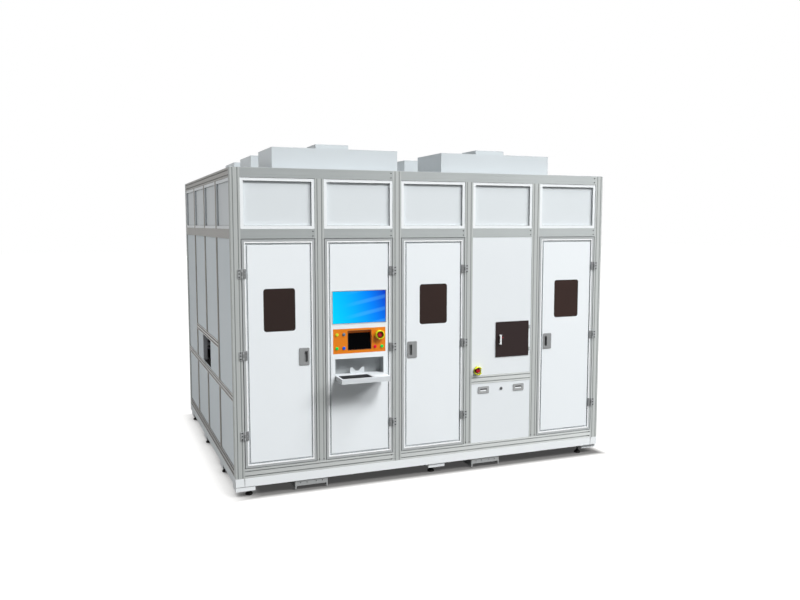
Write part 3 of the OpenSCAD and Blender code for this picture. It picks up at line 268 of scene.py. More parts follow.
class Effects:
    """The shader groups that several finishes share."""

    def __init__(self) -> None:
        """Builds every group once."""
        self.grain = self._grain()
        self.drawn = self._drawn_lines()
        self.wear = self._edge_wear()
        self.dust = self._dust()
        self.inset = self._inset_field()
        self.beyond = self._beyond_plane()
        self.painted_cavity_shade = self._painted_shade_mask()
        self.slope = self._painted_light_gradient()
        self.lines = self._painted_slot_shade()

    @staticmethod
    def _group(name: str, inputs: dict[str, object], *outputs: str) -> tuple:
        """Makes an empty group with named sockets.

        Args:
            name: The group's name.
            inputs: Default value of each input, which also gives its type.
            outputs: Name of each output.

        Returns:
            The tree, its graph, its input sockets and its output node.
        """
        tree = bpy.data.node_groups.new(name, "ShaderNodeTree")
        kinds = {4: "NodeSocketColor", 3: "NodeSocketVector", 1: "NodeSocketFloat"}
        for label, default in inputs.items():
            kind = kinds[len(default) if isinstance(default, tuple) else 1]
            tree.interface.new_socket(label, in_out="INPUT", socket_type=kind).default_value = default
        for label in outputs:
            kind = kinds[4 if label == "Colour" else 1]
            tree.interface.new_socket(label, in_out="OUTPUT", socket_type=kind)
        given = tree.nodes.new("NodeGroupInput").outputs
        return tree, Graph(tree), given, tree.nodes.new("NodeGroupOutput")

    def _grain(self) -> Tree:
        """Makes fine grain over the surface with a slow drift of tone.

        Returns:
            The group's tree.
        """
        inputs = {"Colour": WHITE, "Scale": 400.0, "Drift": 0.04}
        tree, graph, given, result = self._group("surface_grain", inputs, "Colour", "Height", "Mottle")
        place = graph.place()
        slow = graph.noise(place, 1.7, 4.0, 0.55)
        swing = graph.math("MULTIPLY", graph.math("SUBTRACT", slow, 0.5), given["Drift"])
        graph.feed(result, "Colour", graph.swung(given["Colour"], swing))
        graph.feed(result, "Height", graph.noise(place, given["Scale"], 3.0, 0.6))
        graph.feed(result, "Mottle", slow)
        return tree

    def _drawn_lines(self) -> Tree:
        """Makes the fine lines that a die or a grinding belt leaves along one direction.

        Returns:
            The group's tree.
        """
        inputs = {"Colour": WHITE, "Across": (900.0, 900.0, 6.0), "Contrast": 0.1}
        tree, graph, given, result = self._group("drawn_lines", inputs, "Colour", "Height")
        lines = graph.noise(graph.vector("MULTIPLY", graph.place(), given["Across"]), 1.0, 2.0)
        swing = graph.math("MULTIPLY", graph.math("SUBTRACT", lines, 0.5), given["Contrast"])
        graph.feed(result, "Colour", graph.swung(given["Colour"], swing))
        graph.feed(result, "Height", lines)
        return tree

    def _edge_wear(self) -> Tree:
        """Makes a mask of rubbed outer edges, broken up by noise.

        Returns:
            The group's tree.
        """
        inputs = {"Width": 2 * MM, "Amount": 0.5}
        tree, graph, given, result = self._group("edge_wear", inputs, "Mask")
        rounded = graph.add("Bevel", {"samples": 4}, Radius=given["Width"]).outputs[0]
        dot = graph.vector("DOT_PRODUCT", rounded, graph.add("NewGeometry").outputs["Normal"])
        bend = graph.ramp(graph.math("SUBTRACT", 1.0, dot), 0.02, 0.25)
        broken = graph.ramp(graph.noise(graph.place(), 38.0, 5.0, 0.7), 0.48, 0.62)
        rubbed = graph.math("MULTIPLY", bend, broken)
        graph.feed(result, "Mask", graph.math("MULTIPLY", rubbed, given["Amount"]))
        return tree

    def _dust(self) -> Tree:
        """Makes a mask of dust that lies on upward faces and gathers close to the floor.

        Returns:
            The group's tree.
        """
        inputs = {"Reach": 350 * MM, "Amount": 0.3}
        tree, graph, given, result = self._group("floor_dust", inputs, "Mask")
        place = graph.place()
        height = graph.math("DIVIDE", graph.parts(place)[2], given["Reach"])
        low = graph.math("SUBTRACT", 1.0, height, clamp=True)
        up = graph.parts(graph.add("NewGeometry").outputs["Normal"])[2]
        lying = graph.math("MULTIPLY", graph.ramp(up, 0.6, 0.95), 0.5)
        patches = graph.ramp(graph.noise(place, 9.0, 6.0, 0.65), 0.3, 0.75)
        gathered = graph.math("MULTIPLY", graph.math("ADD", low, lying, clamp=True), patches)
        graph.feed(result, "Mask", graph.math("MULTIPLY", gathered, given["Amount"]))
        return tree

    def _inset_field(self) -> Tree:
        """Makes a mask of what lies further in, along X and Y, than a step from the sides of a box.

        Returns:
            The group's tree.
        """
        inputs = {"Low": (0.0, 0.0, 0.0), "High": (1.0, 1.0, 1.0), "Step": 2 * MM}
        tree, graph, given, result = self._group("inset_field", inputs, "Mask")
        place = graph.place()
        nearest = []
        for first, second in ((place, given["Low"]), (given["High"], place)):
            gap = graph.parts(graph.vector("SUBTRACT", first, second))
            nearest.append(graph.math("MINIMUM", gap[0], gap[1]))
        share = graph.math("DIVIDE", graph.math("MINIMUM", *nearest), given["Step"])
        graph.feed(result, "Mask", graph.ramp(share, 0.4, 0.8))
        return tree

    def _beyond_plane(self) -> Tree:
        """Makes a mask of everything that lies further along an axis than a level.

        Returns:
            The group's tree.
        """
        tree, graph, given, result = self._group("beyond_plane", {"Axis": FRONT, "Level": 0.0}, "Mask")
        along = graph.vector("DOT_PRODUCT", graph.place(), given["Axis"])
        past = graph.math("SUBTRACT", along, given["Level"])
        graph.feed(result, "Mask", graph.math("GREATER_THAN", past, 0.0))
        return tree

    def _painted_shade_mask(self) -> Tree:
        """Makes a mask of painted shade: slots, grooves and inner corners are painted darker where the surface
        nearby is closed in.

        Returns:
            The group's tree.
        """
        tree, graph, given, result = self._group("painted_cavity_shade", {"Reach": 10 * MM, "Amount": 0.5}, "Mask")
        openness = graph.add("AmbientOcclusion", {"samples": 6}, Distance=given["Reach"]).outputs["AO"]
        closed = graph.ramp(graph.math("SUBTRACT", 1.0, openness), 0.12, 0.75)
        graph.feed(result, "Mask", graph.math("MULTIPLY", closed, given["Amount"]))
        return tree

    def _painted_slot_shade(self) -> Tree:
        """Makes a mask of two level lines of painted shade, where a slot or a seam holds the edge of a sheet.

        Returns:
            The group's tree.
        """
        inputs = {"First": 0.0, "Second": 1.0, "Width": 12 * MM, "Strength": 1.0}
        tree, graph, given, result = self._group("painted_slot_shade_lines", inputs, "Mask")
        height = graph.parts(graph.place())[2]
        gaps = [graph.math("SUBTRACT", height, given[line]) for line in ("First", "Second")]
        nearest = graph.math("MINIMUM", *(graph.math("ABSOLUTE", gap) for gap in gaps))
        near = graph.math("DIVIDE", nearest, given["Width"])
        inside = graph.math("SUBTRACT", 1.0, graph.ramp(near, 0.35, 0.65))
        graph.feed(result, "Mask", graph.math("MULTIPLY", inside, given["Strength"]))
        return tree

    def _painted_light_gradient(self) -> Tree:
        """Makes painted light: a colour that brightens evenly from the machine's left end to its right end, as if
        lit from the right.

        Returns:
            The group's tree.
        """
        low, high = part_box("posts")
        tree, graph, given, result = self._group("painted_light_gradient", {"Colour": WHITE, "Amount": 0.1}, "Colour")
        across = graph.add("MapRange", From_Min=low.x, From_Max=high.x, To_Min=-0.5, To_Max=0.5)
        graph.feed(across, "Value", graph.parts(graph.place())[0])
        swing = graph.math("MULTIPLY", across.outputs[0], given["Amount"])
        graph.feed(result, "Colour", graph.swung(given["Colour"], swing))
        return tree


EFFECTS = Effects()
MADE: dict[str, bpy.types.Material] = {}


# ---------------------------------------------------------------- finishes


class Run(Enum):
    """The direction that drawn or ground lines follow."""

    X = (6.0, 900.0, 900.0)
    Y = (900.0, 6.0, 900.0)
    Z = (900.0, 900.0, 6.0)


DUST_COLOUR = (*srgb(176, 170, 160), 1)
BARE_STEEL = (*srgb(150, 152, 154), 1)
# Colour of the painted shade in slots, grooves, inner corners and slot lines.
PAINTED_SHADE = (*srgb(62, 62, 60), 1)
ROUGHNESS_SPREAD = (0.85, 1.15)
DUST_ROUGHNESS = 0.4


def start_material(name: str, colour: Colour) -> tuple[bpy.types.Material, Graph, bpy.types.Node]:
    """Starts a material.

    Args:
        name: The material's name.
        colour: Its plain colour, for views without shaders.

    Returns:
        The material, its graph and its Principled BSDF.
    """
    made = bpy.data.materials.new(name)
    made.use_nodes = True
    made.diffuse_color = (*colour, 1)
    return made, Graph(made.node_tree), made.node_tree.nodes["Principled BSDF"]


@dataclass(frozen=True)
class Finish:
    """A surface finish made of a base coat and the shared effects.

    Attributes:
        name: The material's name.
        colour: Linear base colour.
        roughness: Mean roughness.
        metallic: 1 for bare metal.
        grain: Scale of the fine grain, in waves per metre.
        bump: Depth of the grain or lines, in metres.
        drift: Slow change of tone.
        run: Direction of drawn lines, or None.
        wear: Share of rubbed edges that show bare steel.
        dust: Strength of the dust near the floor.
        shine: Specular level.
        glow: Strength of light given off, for lit caps.
        inset: Node whose recessed field is painted, and the step down to that field.
        field_colour: Colour of the recessed field.
        zones: Axis, level and colour of each part that begins past a plane.
        lines: Heights of the slot lines painted dark as shade, in pairs.
        slope: Painted light: how much darker the machine's left end is painted, and how much brighter its right
            end.
        painted_cavity_shade: Strength of the painted shade in slots and inner corners.
        painted_shade_reach: How far the painted shade spreads from them, in metres.
    """

    name: str
    colour: Colour
    roughness: float = 0.4
    metallic: float = 0.0
    grain: float = 420.0
    bump: float = 0.00004
    drift: float = 0.03
    run: Run | None = None
    wear: float = 0.0
    dust: float = 0.0
    shine: float = 0.5
    glow: float = 0.0
    inset: tuple[str, float] | None = None
    zones: tuple[tuple[Point, float, Colour], ...] = ()
    lines: tuple[tuple[float, float], ...] = ()
    field_colour: Colour = (0.0, 0.0, 0.0)
    slope: float = 0.0
    painted_cavity_shade: float = 0.0
    painted_shade_reach: float = 10 * MM

    def material(self) -> bpy.types.Material:
        """Builds the finish's material on first use.

        Returns:
            The material.
        """
        if self.name not in MADE:
            MADE[self.name], graph, shader = start_material(self.name + "_finish", self.colour)
            shader.inputs["Metallic"].default_value = self.metallic
            shader.inputs["Specular IOR Level"].default_value = self.shine
            self._coat(graph, shader)
        return MADE[self.name]

    def _paint(self, graph: Graph) -> object:
        """Builds the paint before any effect: one colour, or one for each part of the node.

        Args:
            graph: The material's graph.

        Returns:
            The colour or its socket.
        """
        paint: object = (*self.colour, 1)
        if self.inset:
            low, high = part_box(self.inset[0])
            inside = graph.effect(EFFECTS.inset, Low=low, High=high, Step=self.inset[1])
            paint = graph.mix(inside, paint, (*self.field_colour, 1))
        for axis, level, colour in self.zones:
            past = graph.effect(EFFECTS.beyond, Axis=axis, Level=level)
            paint = graph.mix(past, paint, (*colour, 1))
        # Painted light: brighter towards the machine's right end, as if lit from the right.
        if self.slope:
            paint = graph.effect(EFFECTS.slope, "Colour", Colour=paint, Amount=self.slope)
        return paint

    def _coat(self, graph: Graph, shader: bpy.types.Node) -> None:
        """Feeds colour, roughness and bump.

        Args:
            graph: The material's graph.
            shader: Its Principled BSDF.
        """
        grain = graph.add("Group", {"node_tree": EFFECTS.grain}, Scale=self.grain, Drift=self.drift)
        graph.feed(grain, "Colour", self._paint(graph))
        colour, height = grain.outputs["Colour"], grain.outputs["Height"]
        if self.run:
            drawn = graph.add("Group", {"node_tree": EFFECTS.drawn}, Colour=colour, Across=self.run.value)
            colour, height = drawn.outputs["Colour"], drawn.outputs["Height"]
        smooth, coarse = (min(1.0, self.roughness * spread) for spread in ROUGHNESS_SPREAD)
        rough = graph.span(grain.outputs["Mottle"], smooth, coarse)
        if self.wear:
            colour = graph.mix(graph.effect(EFFECTS.wear, Amount=self.wear), colour, BARE_STEEL)
        if self.dust:
            mask = graph.effect(EFFECTS.dust, Amount=self.dust)
            colour = graph.mix(mask, colour, DUST_COLOUR)
            rough = graph.math("ADD", rough, graph.math("MULTIPLY", mask, DUST_ROUGHNESS), clamp=True)
        # Painted shade: slots, grooves and inner corners are painted darker, and so are the slot lines below.
        if self.painted_cavity_shade:
            mask = graph.effect(EFFECTS.painted_cavity_shade, Reach=self.painted_shade_reach, Amount=self.painted_cavity_shade)
            colour = graph.mix(mask, colour, PAINTED_SHADE)
        for first, second in self.lines:
            colour = graph.mix(graph.effect(EFFECTS.lines, First=first, Second=second), colour, PAINTED_SHADE)
        graph.feed(shader, "Base Color", colour)
        graph.feed(shader, "Roughness", rough)
        if self.glow:
            graph.feed(shader, "Emission Color", colour)
            shader.inputs["Emission Strength"].default_value = self.glow
        bump = graph.add("Bump", Height=height, Distance=self.bump, Strength=1.0)
        graph.feed(shader, "Normal", bump.outputs[0])

    def past_plane(self, name: str, axis: Point, place: float, side: int, colour: Colour) -> Finish:
        """Returns a finish that changes its colour past a plane.

        Args:
            name: The new finish's name.
            axis: The axis that stands on the plane.
            place: The plane's place on its coordinate axis.
            side: 1 for the part further along the axis, -1 for the part behind.
            colour: The colour of that part.

        Returns:
            The finish.
        """
        turned = tuple(part * side for part in axis)
        return replace(self, name=name, zones=(*self.zones, (turned, place * sum(axis) * side, colour)))


@dataclass(frozen=True)
class StoneFinish:
    """Honed granite: dark ground with pale and black grains.

    Attributes:
        name: The material's name.
        ground: Colour of the ground.
        pale_grain: Colour of the pale grains.
        dark_grain: Colour of the black grains.
        grain: Scale of the grains, in waves per metre.
        patch: Scale of the patches, in waves per metre.
        pale: Tone at which a grain begins to be pale, and at which it is pale.
        dark: The same for black.
        roughness: Least and greatest roughness.
        bump: Depth of the grains, in metres.
    """

    name: str = "honed_granite"
    ground: Colour = srgb(74, 77, 80)
    pale_grain: Colour = srgb(150, 152, 150)
    dark_grain: Colour = srgb(30, 32, 35)
    grain: float = 260.0
    patch: float = 30.0
    pale: tuple[float, float] = (0.42, 0.5)
    dark: tuple[float, float] = (0.22, 0.12)
    roughness: tuple[float, float] = (0.25, 0.42)
    bump: float = 0.00002

    def material(self) -> bpy.types.Material:
        """Builds the stone's material on first use.

        Returns:
            The material.
        """
        if self.name in MADE:
            return MADE[self.name]
        MADE[self.name], graph, shader = start_material(self.name + "_finish", self.ground)
        grains = graph.add("TexVoronoi", Vector=graph.place(), Scale=self.grain)
        tone = graph.add("SeparateColor", Color=grains.outputs["Color"]).outputs[0]
        patches = graph.noise(graph.place(), self.patch, 6.0)
        pale = graph.ramp(graph.math("MULTIPLY", tone, patches), *self.pale)
        base = graph.mix(pale, (*self.ground, 1), (*self.pale_grain, 1))
        dark = graph.ramp(tone, *self.dark)
        graph.feed(shader, "Base Color", graph.mix(dark, base, (*self.dark_grain, 1)))
        graph.feed(shader, "Roughness", graph.span(patches, *self.roughness))
        bump = graph.add("Bump", Height=grains.outputs["Distance"], Distance=self.bump, Strength=0.5)
        graph.feed(shader, "Normal", bump.outputs[0])
        return MADE[self.name]


@dataclass(frozen=True)
class DisplayFinish:
    """A lit display with a plain gradient and soft slanted bands of light.

    Attributes:
        low: The lit area's lowest corner.
        high: The lit area's highest corner.
        name: The material's name.
        strength: Light given off.
        roughness: The display's roughness.
        shine: Its specular level.
        unlit: Share of black in its own colour, under the light.
        slant: How far the gradient leans over the display's height.
        reach: Share of the gradient that the display's width takes in.
        sky: Place and colour of each step of the gradient, from the left.
        band: Colour of the bands.
        band_strength: How much the bands show.
        band_count: How close the bands lie, in radians over the height.
        band_fall: How far they fall across the display.
    """

    low: Vector
    high: Vector
    name: str = "lit_display"
    strength: float = 1.0
    roughness: float = 0.3
    shine: float = 0.05
    unlit: float = 0.97
    slant: float = 0.22
    reach: float = 0.85
    sky: Sequence[tuple[float, Colour]] = (
        (0.0, srgb(0, 214, 255)),
        (0.4, srgb(0, 178, 255)),
        (0.75, srgb(0, 128, 250)),
        (1.0, srgb(14, 66, 205)),
    )
    band: Colour = srgb(120, 225, 255)
    band_strength: float = 0.16
    band_count: float = 17.0
    band_fall: float = 0.35

    def material(self) -> bpy.types.Material:
        """Builds the display's material.

        Returns:
            The material.
        """
        made, graph, shader = start_material(self.name, srgb(0, 156, 250))
        parts = graph.parts(graph.place())
        across = graph.add("MapRange", Value=parts[0], From_Min=self.low.x, From_Max=self.high.x).outputs[0]
        up = graph.add("MapRange", Value=parts[2], From_Min=self.low.z, From_Max=self.high.z).outputs[0]
        slant = graph.math("ADD", across, graph.math("MULTIPLY", up, self.slant))
        sky = graph.add("ValToRGB", Fac=graph.math("MULTIPLY", slant, self.reach))
        steps = sky.color_ramp.elements
        while len(steps) < len(self.sky):
            steps.new(0.5)
        for element, (place, colour) in zip(steps, self.sky):
            element.position = place
            element.color = (*colour, 1)
        level = graph.math("ADD", up, graph.math("MULTIPLY", across, -self.band_fall))
        waves = graph.math("SINE", graph.math("MULTIPLY", level, self.band_count))
        glow = graph.math("MULTIPLY", graph.ramp(waves, 0.2, 1.0), graph.ramp(across, 0.15, 0.7))
        shown = graph.mix(graph.math("MULTIPLY", glow, self.band_strength), sky.outputs[0], (*self.band, 1))
        graph.feed(shader, "Base Color", graph.mix(self.unlit, shown, (0.0, 0.0, 0.0, 1.0)))
        graph.feed(shader, "Emission Color", shown)
        shader.inputs["Emission Strength"].default_value = self.strength
        shader.inputs["Roughness"].default_value = self.roughness
        shader.inputs["Specular IOR Level"].default_value = self.shine
        return made


COAT = Finish("powder_coat", srgb(228, 233, 236), 0.45, grain=520, bump=0.00003, drift=0.015)
DRAWN = Finish("drawn_aluminium", srgb(181, 185, 184), 0.42, 0.2, bump=0.00001, shine=0.25)
PLATED = Finish("plated_steel", srgb(158, 161, 162), 0.5, 0.2, grain=90, bump=0.00001, drift=0.06, shine=0.25)
CAP = Finish("cap", srgb(104, 124, 140), 0.35, shine=0.2)


class Palette:
    """Every finish on the machine."""

    # Finishes with a strength of painted shade darken their slots, grooves and inner corners.
    sheet = replace(COAT, name="white_powder_coat", drift=0.012, shine=0.3, painted_cavity_shade=0.45)
    # The side panels' copy of the white coat is painted lighter than the front's: painted light for the side in
    # shade.
    side_sheet_painted_light = replace(
        COAT,
        name="side_powder_coat_painted_light",
        colour=srgb(238, 246, 250),
        roughness=0.6,
        shine=0.12,
        painted_cavity_shade=0.4,
        painted_shade_reach=14 * MM,
    )
    unit = replace(COAT, name="filter_unit_coat", colour=srgb(190, 196, 199), roughness=0.42)
    shelf = replace(COAT, name="shelf_powder_coat", colour=srgb(209, 214, 217), shine=0.25)
    roof = replace(
        COAT, name="roof_coat", colour=srgb(196, 201, 204), roughness=0.5, drift=0.03, dust=0.1, shine=0.25
    )
    base = replace(
        COAT,
        name="white_base_paint",
        colour=srgb(235, 239, 241),
        roughness=0.6,
        grain=260,
        bump=0.00005,
        drift=0.008,
        wear=0.3,
        shine=0.12,
        painted_cavity_shade=0.85,
        painted_shade_reach=8 * MM,
    )
    # Painted light: the front beams, the posts and the smoked windows are painted brighter towards the machine's
    # right end.
    profile_x = replace(
        DRAWN,
        name="drawn_aluminium_x",
        colour=srgb(171, 176, 176),
        run=Run.X,
        slope=0.17,
        painted_cavity_shade=0.25,
        painted_shade_reach=11 * MM,
    )
    profile_y = replace(
        DRAWN,
        name="drawn_aluminium_y",
        colour=srgb(204, 203, 200),
        roughness=0.55,
        metallic=0.05,
        run=Run.Y,
        shine=0.1,
        painted_cavity_shade=0.85,
        painted_shade_reach=12 * MM,
    )
    mullion = replace(
        profile_y, name="drawn_aluminium_side", colour=srgb(186, 182, 177), run=Run.Z, shine=0.08, painted_cavity_shade=0.2
    )
    profile_z = replace(DRAWN, name="drawn_aluminium_z", run=Run.Z, slope=0.08)
    machined = Finish("machined_aluminium", srgb(196, 198, 200), 0.32, 0.8, run=Run.Y, bump=0.00001)
    bright = Finish(
        "bright_handle", srgb(238, 241, 242), 0.35, grain=400, bump=0.00001, drift=0.01, shine=0.3
    )
    hinge = replace(PLATED, name="hinge_steel", painted_cavity_shade=0.5)
    zinc = replace(PLATED, name="zinc_plate", roughness=0.38, metallic=0.55, drift=0.12, wear=0.3, shine=0.5)
    fork_zinc = replace(
        PLATED, name="galvanised_steel", roughness=0.55, grain=60, bump=0.00002, wear=0.3, dust=0.15
    )
    steel = Finish("ground_steel", srgb(190, 192, 195), 0.24, 0.95, run=Run.X, bump=0.00001)
    dark_steel = Finish("blackened_steel", srgb(46, 48, 50), 0.45, 0.6, grain=600, drift=0.1)
    rubber = Finish("black_rubber", srgb(16, 16, 17), 0.8, grain=900, bump=0.00006, dust=0.06, shine=0.15)
    seal = Finish("sealing_rubber", srgb(36, 34, 34), 0.65, grain=900)
    smoked = Finish(
        "smoked_acrylic", srgb(43, 26, 21), 0.12, grain=30, bump=0.000002, drift=0.3, shine=0.18, slope=0.25
    )
    hatch = Finish(
        "smoked_acrylic_satin", srgb(48, 38, 38), 0.3, grain=1200, bump=0.00001, drift=0.06, shine=0.12
    )
    moulded = Finish("grey_moulding", srgb(142, 144, 145), 0.5, grain=1500, bump=0.00006, shine=0.3)
    orange = Finish("orange_lacquer", srgb(224, 124, 12), grain=700, bump=0.00002, drift=0.02, shine=0.35)
    black = Finish("black_moulding", srgb(26, 27, 29), 0.42, grain=1500, bump=0.00005)
    keycap = Finish("keycap_plastic", srgb(28, 29, 31), 0.5, grain=1800, bump=0.00005, shine=0.2)
    glass = Finish("black_glass", srgb(2, 2, 3), 0.1, grain=20, bump=0.000002, drift=0.2, shine=0.02)
    niche = Finish("niche_paint", srgb(166, 170, 172), 0.5, grain=500, bump=0.00003)
    lock = Finish("dark_chrome", srgb(86, 88, 90), 0.35, 0.5, grain=900, bump=0.00001)
    red = Finish("stop_plastic", srgb(176, 14, 40), grain=1400, bump=0.00002, shine=0.25)
    # The guard's hollow is painted dark as shade.
    guard = Finish(
        "guard_plastic",
        srgb(222, 224, 24),
        grain=1400,
        bump=0.00003,
        shine=0.3,
        painted_cavity_shade=1.0,
        painted_shade_reach=22 * MM,
    )
    cap_yellow = replace(CAP, name="cap_yellow", colour=srgb(196, 210, 50), glow=0.1)
    cap_grey = replace(CAP, name="cap_grey")
    cap_green = replace(CAP, name="cap_green", colour=srgb(14, 208, 80), glow=0.14)
    cap_blue = replace(CAP, name="cap_blue", colour=srgb(8, 92, 216), glow=0.14)
    cap_red = replace(CAP, name="cap_red", colour=srgb(214, 16, 58), glow=0.12)
    stand = Finish("stand_paint", srgb(88, 94, 100), 0.45, grain=400, dust=0.3, wear=0.3)
    cabinet = Finish("cabinet_paint", srgb(212, 214, 214), 0.45, grain=800, bump=0.00006, drift=0.015)
    laser = Finish("laser_housing", srgb(206, 210, 214), 0.38, grain=600, drift=0.02)
    head = Finish("head_paint", srgb(58, 62, 68), grain=900, bump=0.00005)
    stone = StoneFinish()


NODES_OF_FINISH: Sequence[tuple[Finish | StoneFinish, str]] = (
    (Palette.base, "base_frame"),
    (Palette.fork_zinc, "fork_channels"),
    (Palette.rubber, "levelling_feet"),
    (Palette.profile_z, "posts door_stops"),
    (Palette.mullion, "side_mullions"),
    (Palette.roof, "roof_sheet"),
    (Palette.sheet, "bay_panel service_panel"),
    (Palette.side_sheet_painted_light, "wall_panels"),
    (Palette.unit, "fan_filter_units"),
    (Palette.hinge, "fixed_hinge_leaves"),
    (Palette.guard, "bay_estop_guard door_estop_guard"),
    (Palette.red, "bay_estop_head door_estop_head"),
    (Palette.stand, "bed_stand"),
    (Palette.stone, "granite_bed granite_bridge"),
    (Palette.steel, "linear_rails"),
    (Palette.machined, "table_carriage vacuum_chuck bridge_carriage"),
    (Palette.head, "scan_head"),
    (Palette.laser, "laser_source"),
    (Palette.cabinet, "electrical_cabinet"),
    (Palette.black, "monitor_housing"),
    (Palette.orange, "control_fascia"),
    (Palette.glass, "touch_panel"),
    (Palette.niche, "keyboard_niche"),
    (Palette.keycap, "keyboard"),
    (Palette.cap_yellow, "button_yellow"),
    (Palette.cap_grey, "button_grey"),
    (Palette.cap_green, "button_green_left button_green_right"),
    (Palette.cap_blue, "button_blue"),
    (Palette.cap_red, "button_red"),
    (Palette.bright, "hatch_handle"),
    (Palette.lock, "service_lock"),
    (Palette.smoked, "door_1_window door_3_window door_5_window"),
    (Palette.moulded, "door_1_handle door_3_handle door_5_handle"),
)
FINISH_OF_NODE = {node: finish for finish, nodes in NODES_OF_FINISH for node in nodes.split()}


# ---------------------------------------------------------------- mesh building


class Piece:
    """A small fitting: solids gathered in one mesh, which is finished when its with block ends."""

    smooth_below = math.radians(32)

    def __init__(self, name: str, body: str, finish: Finish | StoneFinish, slot: str) -> None:
        """Starts an empty piece.

        Args:
            name: The object's name.
            body: The body that it rides on.
            finish: Its finish.
            slot: Name of a material slot in the record; stored on the piece but not used.
        """
        self.name, self.body, self.finish, self.slot = name, body, finish, slot
        self.mesh = bmesh.new()

    def __enter__(self) -> Piece:
        """Returns the piece, for solids to be added."""
        return self

    def __exit__(self, *error: object) -> None:
        """Turns the gathered solids into an object and hangs it on its body.

        Args:
            error: What stopped the block, if anything did.
        """
        bmesh.ops.recalc_face_normals(self.mesh, faces=self.mesh.faces)
        data = bpy.data.meshes.new(self.name)
        self.mesh.to_mesh(data)
        self.mesh.free()
        data.shade_smooth()
        data.set_sharp_from_angle(angle=self.smooth_below)
        made = bpy.data.objects.new(self.name, data)
        bpy.context.scene.collection.objects.link(made)
        made.data.materials.append(self.finish.material())
        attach(made, self.body)
        log.info("%s: %d faces on %s", self.name, len(data.polygons), self.body)

    def lathe(self, centre: Point, axis: Point, profile: Section, sides: int = 24) -> None:
        """Turns a profile of radius and height about an axis.

        Args:
            centre: A point on the axis, at height 0.
            axis: The axis's direction.
            profile: Radius and height of each corner; radius 0 closes an end.
            sides: How many sides the turn has.
        """
        tilt = Vector(UP).rotation_difference(Vector(axis)).to_matrix().to_4x4()
        place = Matrix.Translation(Vector(centre)) @ tilt
        rings = []
        for radius, height in profile:
            turns = [2 * math.pi * side / sides for side in range(sides)] if radius else [0.0]
            points = [Vector((radius * math.cos(turn), radius * math.sin(turn), height)) for turn in turns]
            rings.append([self.mesh.verts.new(place @ point) for point in points])
        pairs = list(zip(rings, rings[1:]))
        if len(rings[0]) > 1 and len(rings[-1]) > 1:
            pairs.append((rings[-1], rings[0]))
        for lower, upper in pairs:
            self._bridge(lower, upper, sides)

    def _bridge(self, lower: list, upper: list, sides: int) -> None:
        """Joins two rings, either of which may be a single point.

        Args:
            lower: The first ring.
            upper: The second ring.
            sides: How many sides a full ring has.
        """
        for side in range(sides):
            after = (side + 1) % sides
            if len(lower) == 1:
                self.mesh.faces.new((upper[after], upper[side], lower[0]))
            elif len(upper) == 1:
                self.mesh.faces.new((lower[side], lower[after], upper[0]))
            else:
                self.mesh.faces.new((lower[side], lower[after], upper[after], upper[side]))

    def block(self, low: Point, high: Point, soften: float = 0.0) -> None:
        """Adds a block with rounded edges.

        Args:
            low: Its lowest corner.
            high: Its highest corner.
            soften: Radius of its edges.
        """
        made = bmesh.ops.create_cube(self.mesh, size=1.0)["verts"]
        low, size = Vector(low), Vector(high) - Vector(low)
        for vert in made:
            vert.co = low + Vector([(place + 0.5) * side for place, side in zip(vert.co, size)])
        if soften:
            edges = list({edge for vert in made for edge in vert.link_edges})
            bmesh.ops.bevel(self.mesh, geom=edges, offset=soften, segments=2, affect="EDGES", profile=0.5)

    def rim(self, centre: Point, size: Sequence[float], radius: float, section: Section) -> None:
        """Sweeps a section round a rounded rectangle that faces the operator.

        Args:
            centre: The rectangle's centre.
            size: Its width along X and its height along Z.
            radius: Its corner radius.
            section: The section: distance inwards and distance towards the operator.
        """
        steps = 6
        rings = []
        for sx, sz, start in ((1, 1, 0), (-1, 1, 90), (-1, -1, 180), (1, -1, 270)):
            pivot = Vector(centre) + Vector((sx * (size[0] / 2 - radius), 0, sz * (size[1] / 2 - radius)))
            for step in range(steps + 1):
                angle = math.radians(start + 90 * step / steps)
                out = Vector((math.cos(angle), 0, math.sin(angle)))
                corner = pivot + out * radius
                places = [corner - out * inward + Vector(FRONT) * forward for inward, forward in section]
                rings.append([self.mesh.verts.new(place) for place in places])
        count = len(section)
        for ring, following in zip(rings, rings[1:] + rings[:1]):
            for edge in range(count):
                after = (edge + 1) % count
                self.mesh.faces.new((ring[edge], following[edge], following[after], ring[after]))

    def screw(self, centre: Point, axis: Point, radius: float, sink: float = 0.0) -> None:
        """Adds a screw head with a drive recess.

        Args:
            centre: The middle of its seat.
            axis: The direction that the head faces.
            radius: The head's radius.
            sink: How far the head lies below its seat.
        """
        top = radius * 0.55 - sink
        profile = [
            (0, top - radius * 0.45),
            (radius * 0.42, top - radius * 0.45),
            (radius * 0.45, top),
            (radius * 0.82, top),
            (radius, top - radius * 0.22),
            (radius, -sink - 0.8 * MM),
            (0, -sink - 0.8 * MM),
        ]
        self.lathe(centre, axis, profile, sides=18)


def millimetres(*corners: tuple[float, float]) -> list[tuple[float, float]]:
    """Returns a section or a profile in metres, from its corners in millimetres."""
    return [(first * MM, second * MM) for first, second in corners]


def middle(node: str) -> Vector:
    """Returns the middle of a node's box."""
    return sum(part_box(node), Vector()) / 2


def soften_nodes(names: Sequence[str], width: float) -> None:
    """Rounds the edges of carried-over nodes with a modifier.

    Args:
        names: The nodes' names.
        width: The edge radius.
    """
    for name in names:
        bevel = frame["nodes"][name].modifiers.new("soft_edges", "BEVEL")
        bevel.width = width
        bevel.segments = 2
        bevel.limit_method = "ANGLE"
        bevel.angle_limit = math.radians(40)


# ---------------------------------------------------------------- sub-assemblies


